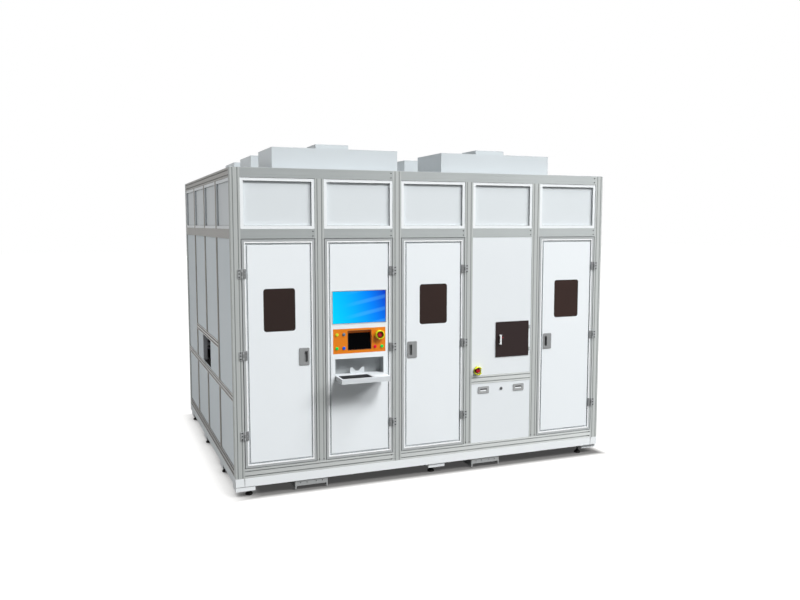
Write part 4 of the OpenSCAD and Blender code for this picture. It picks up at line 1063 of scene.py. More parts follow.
@dataclass
class CarriedOver:
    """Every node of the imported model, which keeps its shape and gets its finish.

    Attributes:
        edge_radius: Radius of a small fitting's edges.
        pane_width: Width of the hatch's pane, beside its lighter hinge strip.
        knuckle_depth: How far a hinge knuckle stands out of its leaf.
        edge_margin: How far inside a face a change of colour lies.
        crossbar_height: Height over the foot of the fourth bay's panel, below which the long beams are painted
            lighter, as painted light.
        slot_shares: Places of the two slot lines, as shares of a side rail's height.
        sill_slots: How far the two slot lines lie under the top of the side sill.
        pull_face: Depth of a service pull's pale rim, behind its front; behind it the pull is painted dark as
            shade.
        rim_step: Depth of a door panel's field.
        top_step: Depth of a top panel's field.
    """

    edge_radius: float = 0.8 * MM
    pane_width: float = 356 * MM
    knuckle_depth: float = 14 * MM
    edge_margin: float = 1 * MM
    crossbar_height: float = 30 * MM
    slot_shares: tuple[float, float] = (0.24, 0.76)
    sill_slots: tuple[float, float] = (61 * MM, 21 * MM)
    pull_face: float = 2.5 * MM
    rim_step: float = 2 * MM
    top_step: float = 6 * MM

    def dress(self) -> None:
        """Gives each node its finish and rounds the edges that catch the light."""
        finishes = {**FINISH_OF_NODE, **self._part_painted()}
        for name, thing in frame["nodes"].items():
            thing.data.materials.clear()
            thing.data.materials.append(finishes[name].material())
            log.info("%s: finish %s", name, finishes[name].name)
        large = ("keyboard_shelf", "hatch_handle", "fan_filter_units", "laser_source", "scan_head")
        small = ("service_pulls", "door_estop_guard", "bay_estop_guard", "vacuum_chuck", "table_carriage")
        soften_nodes(large, self.edge_radius * 2)
        soften_nodes(("door_1_handle", "door_3_handle", "door_5_handle", *small), self.edge_radius)

    def _part_painted(self) -> dict[str, Finish | DisplayFinish]:
        """Works out the finishes of the nodes that change colour part of the way.

        Returns:
            The finish of each of those nodes.
        """
        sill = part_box("side_mullions")[0].z + self.edge_margin
        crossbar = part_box("bay_panel")[0].z + self.crossbar_height
        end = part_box("keyboard_shelf")[0].x + self.edge_margin
        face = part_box("service_pulls")[0].y + self.pull_face
        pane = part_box("hatch_panel")[0].x + self.pane_width
        # A service pull is painted dark behind its pale front rim, as painted shade in its finger gap.
        pull = replace(Palette.moulded, colour=srgb(70, 71, 72), painted_cavity_shade=0.3, painted_shade_reach=8 * MM)
        made = {
            # Top panels: rim painted brighter than the field as a highlight.
            "top_panels": self._framed_sheet(
                "top_panels", self.top_step, srgb(236, 240, 242), srgb(217, 223, 226)
            ),
            # The low beams are a lighter copy of the beam metal: painted light.
            "long_beams": Palette.profile_x.past_plane("sill_beams_painted_light", UP, crossbar, -1, srgb(198, 202, 201)),
            "side_beams": self._side_beams_painted_tones(sill),
            # The shelf's left end is painted darker: painted shade.
            "keyboard_shelf": Palette.shelf.past_plane("shelf_end_painted_shade", RIGHT, end, -1, srgb(168, 171, 173)),
            "monitor_screen": DisplayFinish(*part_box("monitor_screen")),
            "service_pulls": pull.past_plane("pull_moulding_painted_shade", FRONT, face, 1, srgb(162, 164, 165)),
            "hatch_panel": Palette.hatch.past_plane("hatch_acrylic", RIGHT, pane, 1, srgb(214, 216, 217)),
        }
        for door in ("door_1", "door_2", "door_3", "door_5"):
            made[door + "_frame"] = self._leaf_frame(door)
            panel = door + "_panel"
            # Door panels: rim painted brighter than the field as a highlight.
            made[panel] = self._framed_sheet(panel, self.rim_step, srgb(251, 253, 254), srgb(234, 239, 242))
        return made

    def _side_beams_painted_tones(self, sill: float) -> Finish:
        """Returns the metal of the side beams, painted as lit and shaded copies by height: darkest low down,
        lightest over the rails, with slot lines painted dark as shade.

        Args:
            sill: Top of the lowest beam.

        Returns:
            The finish.
        """
        mid = Enclosure().beams[1] - self.edge_margin
        # Painted light and shade: one metal painted darker on the sill, lighter over the rails and mid-grey above.
        zones = ((UP, sill, srgb(228, 227, 224)), (UP, mid, srgb(190, 189, 186)))
        slots = [tuple(low + height * share for share in self.slot_shares) for low, height in Enclosure.rails]
        slots.append(tuple(sill - depth for depth in self.sill_slots))
        metal = Palette.profile_y
        return replace(metal, name="side_beams", colour=srgb(178, 177, 175), zones=zones, lines=tuple(slots))

    def _leaf_frame(self, door: str) -> Finish:
        """Returns the metal of a leaf's edge frame, with darker hinge leaves in front of it.

        Args:
            door: The door's name.

        Returns:
            The finish.
        """
        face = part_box(door + "_frame")[0].y + self.knuckle_depth - self.edge_margin / 2
        metal = replace(Palette.profile_z, colour=srgb(170, 174, 175), painted_cavity_shade=0.1)
        return metal.past_plane(door + "_edge", FRONT, face, 1, srgb(124, 126, 127))

    @staticmethod
    def _framed_sheet(node: str, step: float, rim: Colour, field_colour: Colour) -> Finish:
        """Returns the coat of a panel whose rim is painted brighter than its recessed field as a highlight, with
        painted shade in its groove.

        Args:
            node: The panel's node.
            step: Depth of the field behind the rim.
            rim: The rim's colour.
            field_colour: The field's colour.

        Returns:
            The finish.
        """
        groove_shade = {"painted_cavity_shade": 1.0, "painted_shade_reach": 12 * MM}
        coat = replace(Palette.sheet, name=node + "_coat", colour=rim, inset=(node, step), **groove_shade)
        return replace(coat, field_colour=field_colour)


@dataclass
class Enclosure:
    """The profile frame's visible connectors and slot covers.

    Attributes:
        rails: Underside and height of the two side rails.
        profile: Side of the profile.
        bays: How many bays the front has.
        joint_post: Number of the post where the long beams meet.
        through_posts: Numbers of the posts that stand on the bottom beam with screws beside their foot.
        cap_radius: Radius of a connector's cap.
        from_joint: Distance of the caps from the joint that they hold.
        inner_radius: Radius of the caps on the sides and the back, which lie in the slots.
        inner_sink: How far those caps lie down.
        cap_seat: How far a cap's seat stands in front of the beam's face.
        cover_width: Width of the strips that close the slots.
        cover_set: How far a strip lies behind the beam's face.
        cover_depth: Its depth.
        post_cover_set: How far the strips in the posts lie behind the face.
        painted_light_height: Height over the floor under which the side strips are painted lighter, like the
            rails, as painted light.
    """

    rails = ((818 * MM, 60 * MM), (1173 * MM, 60 * MM))

    profile: float = 80 * MM
    bays: int = 5
    joint_post: int = 2
    through_posts: Sequence[int] = (1, 3, 4)
    cap_radius: float = 5 * MM
    from_joint: float = 18 * MM
    inner_radius: float = 3.9 * MM
    inner_sink: float = 2.5 * MM
    cap_seat: float = 0.2 * MM
    cover_width: float = 7.6 * MM
    cover_set: float = 0.3 * MM
    cover_depth: float = 2.6 * MM
    post_cover_set: float = 1.2 * MM
    painted_light_height: float = 2.0

    def __post_init__(self) -> None:
        """Works out the places of posts, beams and slots from the carried-over frame."""
        self.low, self.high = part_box("posts")
        pitch = (self.high.x - self.low.x - self.profile) / self.bays
        self.posts = [self.low.x + post * pitch for post in range(self.bays + 1)]
        self.slots = (self.profile / 4, self.profile * 3 / 4)
        bottom, top = (corner.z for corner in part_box("long_beams"))
        door_low, door_high = (corner.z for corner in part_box("door_1_frame"))
        self.beams = (bottom, door_high + door_low - bottom - self.profile, top - self.profile)
        self.faces = ((-1, self.low.y), (1, self.high.y))
        self.sides = ((-1, self.low.x), (1, self.high.x))

    def dress(self) -> None:
        """Adds the screws that hold the beams to the posts, and the strips that close slots."""
        self._front_screws()
        self._side_screws()
        self._post_covers()
        self._front_covers()
        self._side_covers()

    def _front_screws(self) -> None:
        """Adds the screws on the front and the back."""
        with Piece("beam_joint_screws", "enclosure", Palette.seal, "black_plastic") as caps:
            for face, y in self.faces:
                seat = y + face * self.cap_seat
                radius, sink = (self.cap_radius, 0.0) if face < 0 else (self.inner_radius, self.inner_sink)
                places = []
                for post in range(1, self.bays + 1):
                    ends = self.beams if post in (self.joint_post, self.bays) else self.beams[1:2]
                    right = self.posts[post] - self.from_joint
                    places += [(right, beam + slot) for beam in ends for slot in self.slots]
                foot = self.beams[0] + self.profile + self.from_joint
                slots = [self.posts[post] + slot for post in self.through_posts for slot in self.slots]
                places += [(slot, foot) for slot in slots]
                for x, z in places:
                    caps.screw((x, seat, z), (0, face, 0), radius, sink)

    def _side_screws(self) -> None:
        """Adds the screws at the ends of the side beams."""
        inset = self.profile + self.from_joint
        with Piece("side_joint_screws", "enclosure", Palette.dark_steel, "zinc") as caps:
            for face, x in self.sides:
                seat = x + face * self.cap_seat
                for end in (self.low.y + inset, self.high.y - inset):
                    for z in (beam + slot for beam in self.beams for slot in self.slots):
                        caps.screw((seat, end, z), (face, 0, 0), self.inner_radius, self.inner_sink)

    def _strip(self, face: int, level: float, behind: float) -> list[float]:
        """Returns how deep a strip reaches, from its lower to its higher coordinate.

        Args:
            face: -1 for a face that looks to the lower end of its axis, 1 for the other.
            level: The face's coordinate.
            behind: How far the strip lies behind the face.

        Returns:
            Both coordinates.
        """
        return sorted((level - face * behind, level - face * (behind + self.cover_depth)))

    def _post_covers(self) -> None:
        """Fills the posts' front and back slots with strips that lie a little behind the face, painted darker than
        the posts as the shade in the slots.
        """
        half = self.cover_width / 2
        metal = replace(Palette.profile_z, name="post_covers", colour=srgb(128, 132, 131))
        with Piece("post_slot_covers", "enclosure", metal, "aluminium") as strips:
            for post, left in enumerate(self.posts):
                full = post in (0, self.joint_post, self.bays)
                bottom = self.beams[0] + (0 if full else self.profile) + MM
                top = (self.high.z if full else self.beams[2]) - MM
                for x in (left + slot for slot in self.slots):
                    for face, y in self.faces:
                        near, far = self._strip(face, y, self.post_cover_set)
                        strips.block((x - half, near, bottom), (x + half, far, top))

    def _front_covers(self) -> None:
        """Closes the slots of the mid and top beams at the front and the back."""
        half = self.cover_width / 2
        joints = (0, self.joint_post, self.bays)
        spans = [(post, post + 1, self.beams[1]) for post in range(self.bays)]
        spans += [(start, end, self.beams[2]) for start, end in zip(joints, joints[1:])]
        with Piece("front_slot_covers", "enclosure", Palette.profile_x, "aluminium") as strips:
            for start, end, bottom in spans:
                for z in (bottom + slot for slot in self.slots):
                    for face, y in self.faces:
                        near, far = self._strip(face, y, self.cover_set)
                        left = self.posts[start] + self.profile
                        strips.block((left, near, z - half), (self.posts[end], far, z + half))

    def _side_covers(self) -> None:
        """Closes the slots of the side mid beams and of the side rails; the strips are painted lighter below a
        height, as painted light.
        """
        half = self.cover_width / 2
        zone = (DOWN, -self.painted_light_height, srgb(226, 225, 222))
        metal = replace(Palette.profile_y, name="side_covers", colour=srgb(190, 189, 186), zones=(zone,))
        corners = [vertex.co for vertex in frame["nodes"]["side_beams"].data.vertices]
        with Piece("side_slot_covers", "enclosure", metal, "aluminium") as strips:
            for face, x in self.sides:
                near, far = self._strip(face, x, self.cover_set)
                between = (self.low.y + self.profile, self.high.y - self.profile)
                runs = [(self.beams[1] + slot, *between) for slot in self.slots]
                for bottom, height in self.rails:
                    run = [co.y for co in corners if abs(co.z - bottom) < MM and co.x * face > 0]
                    runs += [(bottom + height / 2, min(run), max(run))] if run else []
                for z, start, end in runs:
                    strips.block((near, start, z - half), (far, end, z + half))


@dataclass
class SteelBase:
    """Bolts in the end plates of the base's fork channels.

    Attributes:
        channel_width: Width of a channel.
        places: Where the bolts sit across a channel.
        from_top: Their distance from the channel's top.
        bolt: Radius of a bolt's head.
        sunk: How far a head lies behind the plate's face.
    """

    channel_width: float = 295 * MM
    places: Sequence[float] = (-99 * MM, -42 * MM, 42 * MM, 99 * MM)
    from_top: float = 25 * MM
    bolt: float = 4.2 * MM
    sunk: float = 5 * MM

    def dress(self) -> None:
        """Adds the bolts at both ends of each channel."""
        low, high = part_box("fork_channels")
        middles = (low.x + self.channel_width / 2, high.x - self.channel_width / 2)
        with Piece("fork_channel_bolts", "enclosure", Palette.dark_steel, "zinc") as bolts:
            for x in (centre + place for centre in middles for place in self.places):
                for face, y in ((-1, low.y), (1, high.y)):
                    bolts.screw((x, y - face * self.sunk, high.z - self.from_top), (0, face, 0), self.bolt)


@dataclass
class RoofUnits:
    """Grilles and screws of the fan filter units.

    Attributes:
        columns: How many units stand side by side.
        rows: How many rows there are.
        width: Width of a unit.
        depth: Depth of a unit.
        inlet: Side of the square inlet.
        inlet_height: Height of the inlet's wall.
        wall: Thickness of the inlet's wall.
        bars: How many bars a grille has each way.
        bar_radius: Radius of a bar.
        bar_end: How far a bar reaches into the inlet's wall.
        sunk: How far a grille lies below the inlet's edge.
        lid_margin: Distance of the lid's screws from its edges.
        lid_screw: Radius of a lid's screw.
        side_screw: Radius of a side's screw.
        side_screws: How many screws a long side has.
        side_share: The side's width over the distance of its screws.
        side_height: Height of those screws over the roof.
    """

    columns: int = 2
    rows: int = 3
    width: float = 1180 * MM
    depth: float = 575 * MM
    inlet: float = 310 * MM
    inlet_height: float = 50 * MM
    wall: float = 12 * MM
    bars: int = 9
    bar_radius: float = 1.5 * MM
    bar_end: float = 2 * MM
    sunk: float = 8 * MM
    lid_margin: float = 20 * MM
    lid_screw: float = 4 * MM
    side_screw: float = 3 * MM
    side_screws: int = 4
    side_share: float = 4.4
    side_height: float = 14 * MM

    def dress(self) -> None:
        """Adds a grille to each inlet, and screws to each unit's lid and long sides."""
        low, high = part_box("fan_filter_units")
        right = (high.x - low.x - self.width) / (self.columns - 1)
        back = (high.y - low.y - self.depth) / (self.rows - 1)
        with (
            Piece("filter_unit_screws", "enclosure", Palette.zinc, "zinc") as screws,
            Piece("inlet_grilles", "enclosure", Palette.dark_steel, "zinc") as grilles,
        ):
            for x in (low.x + self.width / 2 + column * right for column in range(self.columns)):
                for y in (low.y + self.depth / 2 + row * back for row in range(self.rows)):
                    self._grille(grilles, x, y, high.z - self.sunk)
                    self._screws(screws, x, y, high.z - self.inlet_height)

    def _grille(self, piece: Piece, x: float, y: float, z: float) -> None:
        """Adds crossed round bars over one inlet.

        Args:
            piece: The piece that they go into.
            x: The inlet's centre.
            y: The inlet's centre.
            z: Height of the bars.
        """
        half = self.inlet / 2 - self.wall + self.bar_end
        radius = self.bar_radius
        bar = [(0, 0), (radius, 0), (radius, 2 * half), (0, 2 * half)]
        for number in range(self.bars):
            offset = half * (2 * (number + 1) / (self.bars + 1) - 1)
            piece.lathe((x - half, y + offset, z), RIGHT, bar, sides=8)
            piece.lathe((x + offset, y - half, z - 2 * radius), (0, 1, 0), bar, sides=8)

    def _screws(self, piece: Piece, x: float, y: float, lid: float) -> None:
        """Adds the screws of one unit: lid corners, and a row low on its long sides.

        Args:
            piece: The piece that they go into.
            x: The unit's centre.
            y: The unit's centre.
            lid: The lid's height.
        """
        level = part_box("roof_sheet")[1].z + self.side_height
        right, back = self.width / 2, self.depth / 2
        for sx in (-1, 1):
            for sy in (-1, 1):
                corner = (x + sx * (right - self.lid_margin), y + sy * (back - self.lid_margin), lid)
                piece.screw(corner, UP, self.lid_screw)
        for number in range(self.side_screws):
            along = x + (number - (self.side_screws - 1) / 2) * self.width / self.side_share
            for face in (-1, 1):
                piece.screw((along, y + face * back, level), (0, face, 0), self.side_screw)


@dataclass
class LoadingWindow:
    """The liner, a black strip on the sill and the clamp plate with its knobs at the loading window's rear jamb.

    Attributes:
        jamb_depth: How far the jamb reaches in from the side panel's face.
        panel_set: How far that face lies behind the profiles.
        jamb_gap: Distance of the jamb from the opening.
        front_gap: How far the liner and the black strip lie behind the panel's face.
        liner_depths: Front and back of the liner, before the jamb.
        strip_levels: Underside and top of the black strip, below the opening.
        strip_end: How far the black strip reaches past the jamb's inner edge.
        plate_width: Width of the clamp plate past the jamb.
        plate_overlap: How far the plate reaches behind the jamb.
        plate_margin: How far the plate reaches past its knobs.
        plate_thickness: Its thickness.
        heights: Heights of the knobs above the opening's lower edge.
        knob_radius: Radius of a knob.
    """

    jamb_depth: float = 40 * MM
    panel_set: float = 9 * MM
    jamb_gap: float = 8 * MM
    front_gap: float = 2 * MM
    liner_depths: Sequence[float] = (9.5 * MM, 8.1 * MM)
    strip_levels: Sequence[float] = (9.9 * MM, 7 * MM)
    strip_end: float = 20 * MM
    plate_width: float = 34 * MM
    plate_overlap: float = 8 * MM
    plate_margin: float = 26 * MM
    plate_thickness: float = 3 * MM
    heights: Sequence[float] = (133 * MM, 187 * MM)
    knob_radius: float = 15 * MM

    def dress(self) -> None:
        """Adds the jamb's liner, the plate behind its inner edge with two knobs, and a black strip on the sill."""
        openings = frame["record"]["physics"]["openings"]
        opening = next(entry for entry in openings if entry["name"] == "loading_window")
        low, high = (Vector(corner) for corner in opening["box_m"])
        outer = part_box("side_beams")[0].x + self.panel_set
        inner, outer = outer + self.jamb_depth, outer + self.front_gap
        jamb = high.y + self.jamb_gap
        near, far = (jamb - depth for depth in self.liner_depths)
        below, under = (low.z - level for level in self.strip_levels)
        bottom = low.z + self.heights[0] - self.plate_margin
        top = low.z + self.heights[-1] + self.plate_margin
        front = jamb - self.plate_thickness
        with Piece("window_clamp_plate", "enclosure", Palette.laser, "zinc") as plate:
            corner = (inner - self.plate_overlap, front, bottom)
            plate.block(corner, (inner + self.plate_width, jamb, top), MM)
        with Piece("window_jamb_liner", "enclosure", Palette.laser, "zinc") as liner:
            corner = (outer, near, low.z - self.jamb_gap)
            liner.block(corner, (inner, far, high.z + self.jamb_gap))
        with Piece("window_sill_dark_strip", "enclosure", Palette.rubber, "black_rubber") as mat:
            mat.block((outer, low.y, below), (inner + self.strip_end, high.y, under))
        radius = self.knob_radius
        stem = [(0, 0), (radius * 0.5, 0), (radius * 0.5, 6 * MM)]
        grip = [(radius, 9 * MM), (radius, 20 * MM), (radius * 0.8, 25 * MM), (0, 26 * MM)]
        with Piece("window_clamp_knobs", "enclosure", Palette.black, "black_plastic") as knobs:
            for height in self.heights:
                knobs.lathe((inner + radius + 2 * MM, front, low.z + height), FRONT, stem + grip)


@dataclass
class HingeScrews:
    """Screws of the door hinges.

    Attributes:
        heights: Steps of the hinges from the middle one.
        rows: Steps of the screws from a hinge's middle.
        offset: Distance of the screws from the pin's axis.
        plate_front: How far the screws' seats lie behind the axis.
        post_screw: Radius of a screw on the post side.
        leaf_screw: Radius of a screw on the leaf side.
    """

    heights: Sequence[float] = (-689 * MM, 0.0, 689 * MM)
    rows: Sequence[float] = (-27 * MM, 0.0, 27 * MM)
    offset: float = 22 * MM
    plate_front: float = 1 * MM
    post_screw: float = 5.6 * MM
    leaf_screw: float = 3.2 * MM

    def dress(self) -> None:
        """Adds dark screws on the post side and plated ones on the leaf side of each hinge."""
        hinges = [joint for joint in frame["joints"] if joint["type"] == "hinge"]
        doors = [joint for joint in hinges if joint["name"].startswith("door_")]
        with Piece("post_hinge_screws", "enclosure", Palette.rubber, "zinc") as fixed:
            for joint in doors:
                body = joint["child"]
                with Piece(body + "_hinge_screws", body, Palette.zinc, "zinc") as moving:
                    x, y, z = joint["pos_m"]
                    seat, aside = y + self.plate_front, -joint["axis"][2] * self.offset
                    for level in (z + height + row for height in self.heights for row in self.rows):
                        fixed.screw((x - aside, seat, level), FRONT, self.post_screw)
                        moving.screw((x + aside, seat, level), FRONT, self.leaf_screw)


@dataclass
class DoorTrim:
    """Seal and handle screws of a plain door.

    Attributes:
        body: The door's name.
        window_size: Width and height of the window's cut-out.
        window_radius: Corner radius of the cut-out.
        screw_inset: Distance of the handle's screws from its ends.
        screw_radius: Radius of such a screw's head.
        screw_sink: How far the head lies below the handle's face.
    """

    body: str
    window_size: tuple[float, float] = (274 * MM, 366 * MM)
    window_radius: float = 24 * MM
    screw_inset: float = 13 * MM
    screw_radius: float = 3.2 * MM
    screw_sink: float = 1.4 * MM

    def dress(self) -> None:
        """Adds the seal round the pane and the two countersunk screws of the handle."""
        centre = middle(self.body + "_window")
        centre.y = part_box(self.body + "_window")[0].y
        section = millimetres((-0.3, -1.2), (-0.3, 0.7), (1.2, 1.1), (3.4, 0.5), (3.4, -0.4))
        with Piece(self.body + "_window_seal", self.body, Palette.seal, "black_rubber") as seal:
            seal.rim(centre, self.window_size, self.window_radius, section)
        low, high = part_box(self.body + "_handle")
        with Piece(self.body + "_handle_screws", self.body, Palette.zinc, "zinc") as screws:
            for z in (low.z + self.screw_inset, high.z - self.screw_inset):
                seat = ((low.x + high.x) / 2, low.y, z)
                screws.screw(seat, FRONT, self.screw_radius, self.screw_sink)


def add_stop_collar(head: str, body: str, name: str) -> None:
    """Adds the black collar under an emergency stop's head.

    Args:
        head: The head's node.
        body: The body that the collar rides on.
        name: The collar's name.
    """
    centre = middle(head)
    centre.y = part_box(head.replace("head", "guard"))[1].y
    profile = millimetres((12, 0), (12, 2.4), (16, 2.4), (22, 1.6), (27, 0.8), (27, 0))
    with Piece(name, body, Palette.black, "grey_plastic") as collar:
        collar.lathe(centre, FRONT, profile, sides=40)


@dataclass
class Console:
    """Bezels, collar and trim of the operator console.

    Attributes:
        body: The body that the console rides on.
        buttons: The push buttons' nodes.
        button_gap: Gap between a button and its ring.
        bezel_width: Width of the ring.
        screen_size: Width and height of the screen's cut-out.
        field_step: Depth of the door panel's field, in which the screen sits.
        touch_inset: How far the dark rim lies inside the touch panel's box.
        mat_margin: Distance of the pointer mat from the keyboard, the shelf's front and its end.
        mat_depth: How far the mat reaches from the shelf's front.
    """

    body: str = "door_2"
    buttons: Sequence[str] = ("yellow", "grey", "green_left", "blue", "red", "green_right")
    button_gap: float = 0.5 * MM
    bezel_width: float = 2 * MM
    screen_size: tuple[float, float] = (498 * MM, 288 * MM)
    field_step: float = 2 * MM
    touch_inset: float = 12 * MM
    mat_margin: Sequence[float] = (18 * MM, 14 * MM, 10 * MM)
    mat_depth: float = 168 * MM

    def dress(self) -> None:
        """Adds every fitting."""
        for button in self.buttons:
            self._button_ring("button_" + button)
        self._screen_trim()
        self._touch_rim()
        add_stop_collar("door_estop_head", self.body, "door_estop_collar")
        self._pointer_mat()

    def _button_ring(self, name: str) -> None:
        """Adds the lit ring round a push button.

        Args:
            name: The button's node.
        """
        low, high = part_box(name)
        radius = (high.x - low.x) / 2 + self.button_gap
        outer = radius + self.bezel_width
        profile = [
            (radius, 0),
            (radius, 4.6 * MM),
            (radius + 0.8 * MM, 5.2 * MM),
            (outer - 1.2 * MM, 3.2 * MM),
            (outer, 1.4 * MM),
            (outer, 0),
        ]
        centre = middle(name)
        centre.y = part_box("control_fascia")[0].y
        with Piece(name + "_ring", self.body, FINISH_OF_NODE[name], "grey_plastic") as ring:
            ring.lathe(centre, FRONT, profile, sides=36)

    def _screen_trim(self) -> None:
        """Adds the pale frame round the screen and the dark edge inside it."""
        centre = middle("monitor_screen")
        centre.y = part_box("door_2_panel")[0].y + self.field_step
        section = millimetres((0, 0), (0, 1.6), (-1, 2), (-7, 1.4), (-8, 0))
        with Piece("screen_surround", self.body, Palette.shelf, "white_paint") as trim:
            trim.rim(centre, self.screen_size, 2 * MM, section)
        section = millimetres((0, -1.5), (0, 0.4), (3, 0.2), (3, -1.5))
        with Piece("screen_edge", self.body, Palette.black, "black_plastic") as edge:
            edge.rim(centre, self.screen_size, 2 * MM, section)

    def _touch_rim(self) -> None:
        """Adds a narrow dark frame where the leaning panel meets its surround."""
        low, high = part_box("touch_panel")
        centre = middle("touch_panel")
        centre.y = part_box("control_fascia")[0].y
        size = (high.x - low.x - 2 * self.touch_inset, high.z - low.z - 2 * self.touch_inset)
        section = millimetres((0, 0), (-0.5, 1.2), (-3, 1.2), (-3.6, 0))
        with Piece("touch_panel_rim", self.body, Palette.black, "black_plastic") as rim:
            rim.rim(centre, size, 3 * MM, section)

    def _pointer_mat(self) -> None:
        """Adds a desk mat on the free part of the shelf."""
        low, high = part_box("keyboard_shelf")
        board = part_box("keyboard")[1]
        top = board.z - 0.5 * MM
        beside, front, end = self.mat_margin
        corner = (board.x + beside, low.y + front, top)
        with Piece("pointer_mat", self.body, Palette.shelf, "white_paint") as mat:
            mat.block(corner, (high.x - end, low.y + self.mat_depth, top + 1.2 * MM), 0.5 * MM)


@dataclass
class FourthBay:
    """Fittings of the hatch and the service panel.

    Attributes:
        mark_place: Place of the red bolt head: to the right of the handle and above its middle.
        mark_seat: How far the bolt's seat lies behind the hatch's front.
        bolt_inset: Distance of the handle's bolts from its ends.
        bolt_radius: Radius of a bolt's head.
        bolt_sink: How far the head lies below the foot's face.
        scoop_inset: Distance of a scoop's middle from the outer edge of its pull.
        scoop_half: Half the width of a scoop.
        scoop_levels: Lower and upper edge of a scoop, below the pull's middle.
        scoop_depths: Front and back of a scoop, behind the pull's front.
        lock_radii: Inner and outer radius of the lock's ring.
    """

    mark_place: Sequence[float] = (24 * MM, 16 * MM)
    mark_seat: float = 2.5 * MM
    bolt_inset: float = 6 * MM
    bolt_radius: float = 3 * MM
    bolt_sink: float = 0.8 * MM
    scoop_inset: float = 58 * MM
    scoop_half: float = 33.5 * MM
    scoop_levels: Sequence[float] = (12.8 * MM, 1 * MM)
    scoop_depths: Sequence[float] = (3.5 * MM, 9 * MM)
    lock_radii: Sequence[float] = (13.3 * MM, 16.5 * MM)

    def dress(self) -> None:
        """Adds every fitting."""
        add_stop_collar("bay_estop_head", "enclosure", "bay_estop_collar")
        self._hatch_fittings()
        self._lock_rosette()
        self._pull_scoops()

    def _hatch_fittings(self) -> None:
        """Adds the small red bolt head beside the handle and the two bolts of the handle's feet."""
        low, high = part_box("hatch_handle")
        right, up = self.mark_place
        seat = (high.x + right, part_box("hatch_panel")[0].y + self.mark_seat, (low.z + high.z) / 2 + up)
        with Piece("hatch_latch_button", "hatch", Palette.red, "stop_red") as mark:
            mark.lathe(seat, FRONT, millimetres((5, 0), (5, 1.2), (3.6, 2), (0, 2.2)))
        with Piece("hatch_handle_bolts", "hatch", Palette.zinc, "zinc") as bolts:
            for z in (low.z + self.bolt_inset, high.z - self.bolt_inset):
                bolts.screw(((low.x + high.x) / 2, low.y, z), FRONT, self.bolt_radius, self.bolt_sink)

    def _lock_rosette(self) -> None:
        """Adds the ring round the service panel's lock."""
        centre = middle("service_pulls")
        centre.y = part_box("service_panel")[0].y
        inner, outer = self.lock_radii
        profile = [(inner, 0), (inner, 2 * MM), (outer - MM, 2 * MM), (outer, MM), (outer, 0)]
        with Piece("lock_rosette", "service_cover", Palette.zinc, "zinc") as ring:
            ring.lathe(centre, FRONT, profile, sides=36)

    def _pull_scoops(self) -> None:
        """Adds the scoop below the finger gap of each service pull, painted pale as a pool of light that falls
        into the pocket.
        """
        low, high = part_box("service_pulls")
        bottom, top = ((low.z + high.z) / 2 - below for below in self.scoop_levels)
        front, back = (low.y + behind for behind in self.scoop_depths)
        with Piece("pull_scoops_painted_light", "service_cover", Palette.bright, "zinc") as scoops:
            for x in (low.x + self.scoop_inset, high.x - self.scoop_inset):
                corner = (x - self.scoop_half, front, bottom)
                scoops.block(corner, (x + self.scoop_half, back, top), soften=1.5 * MM)


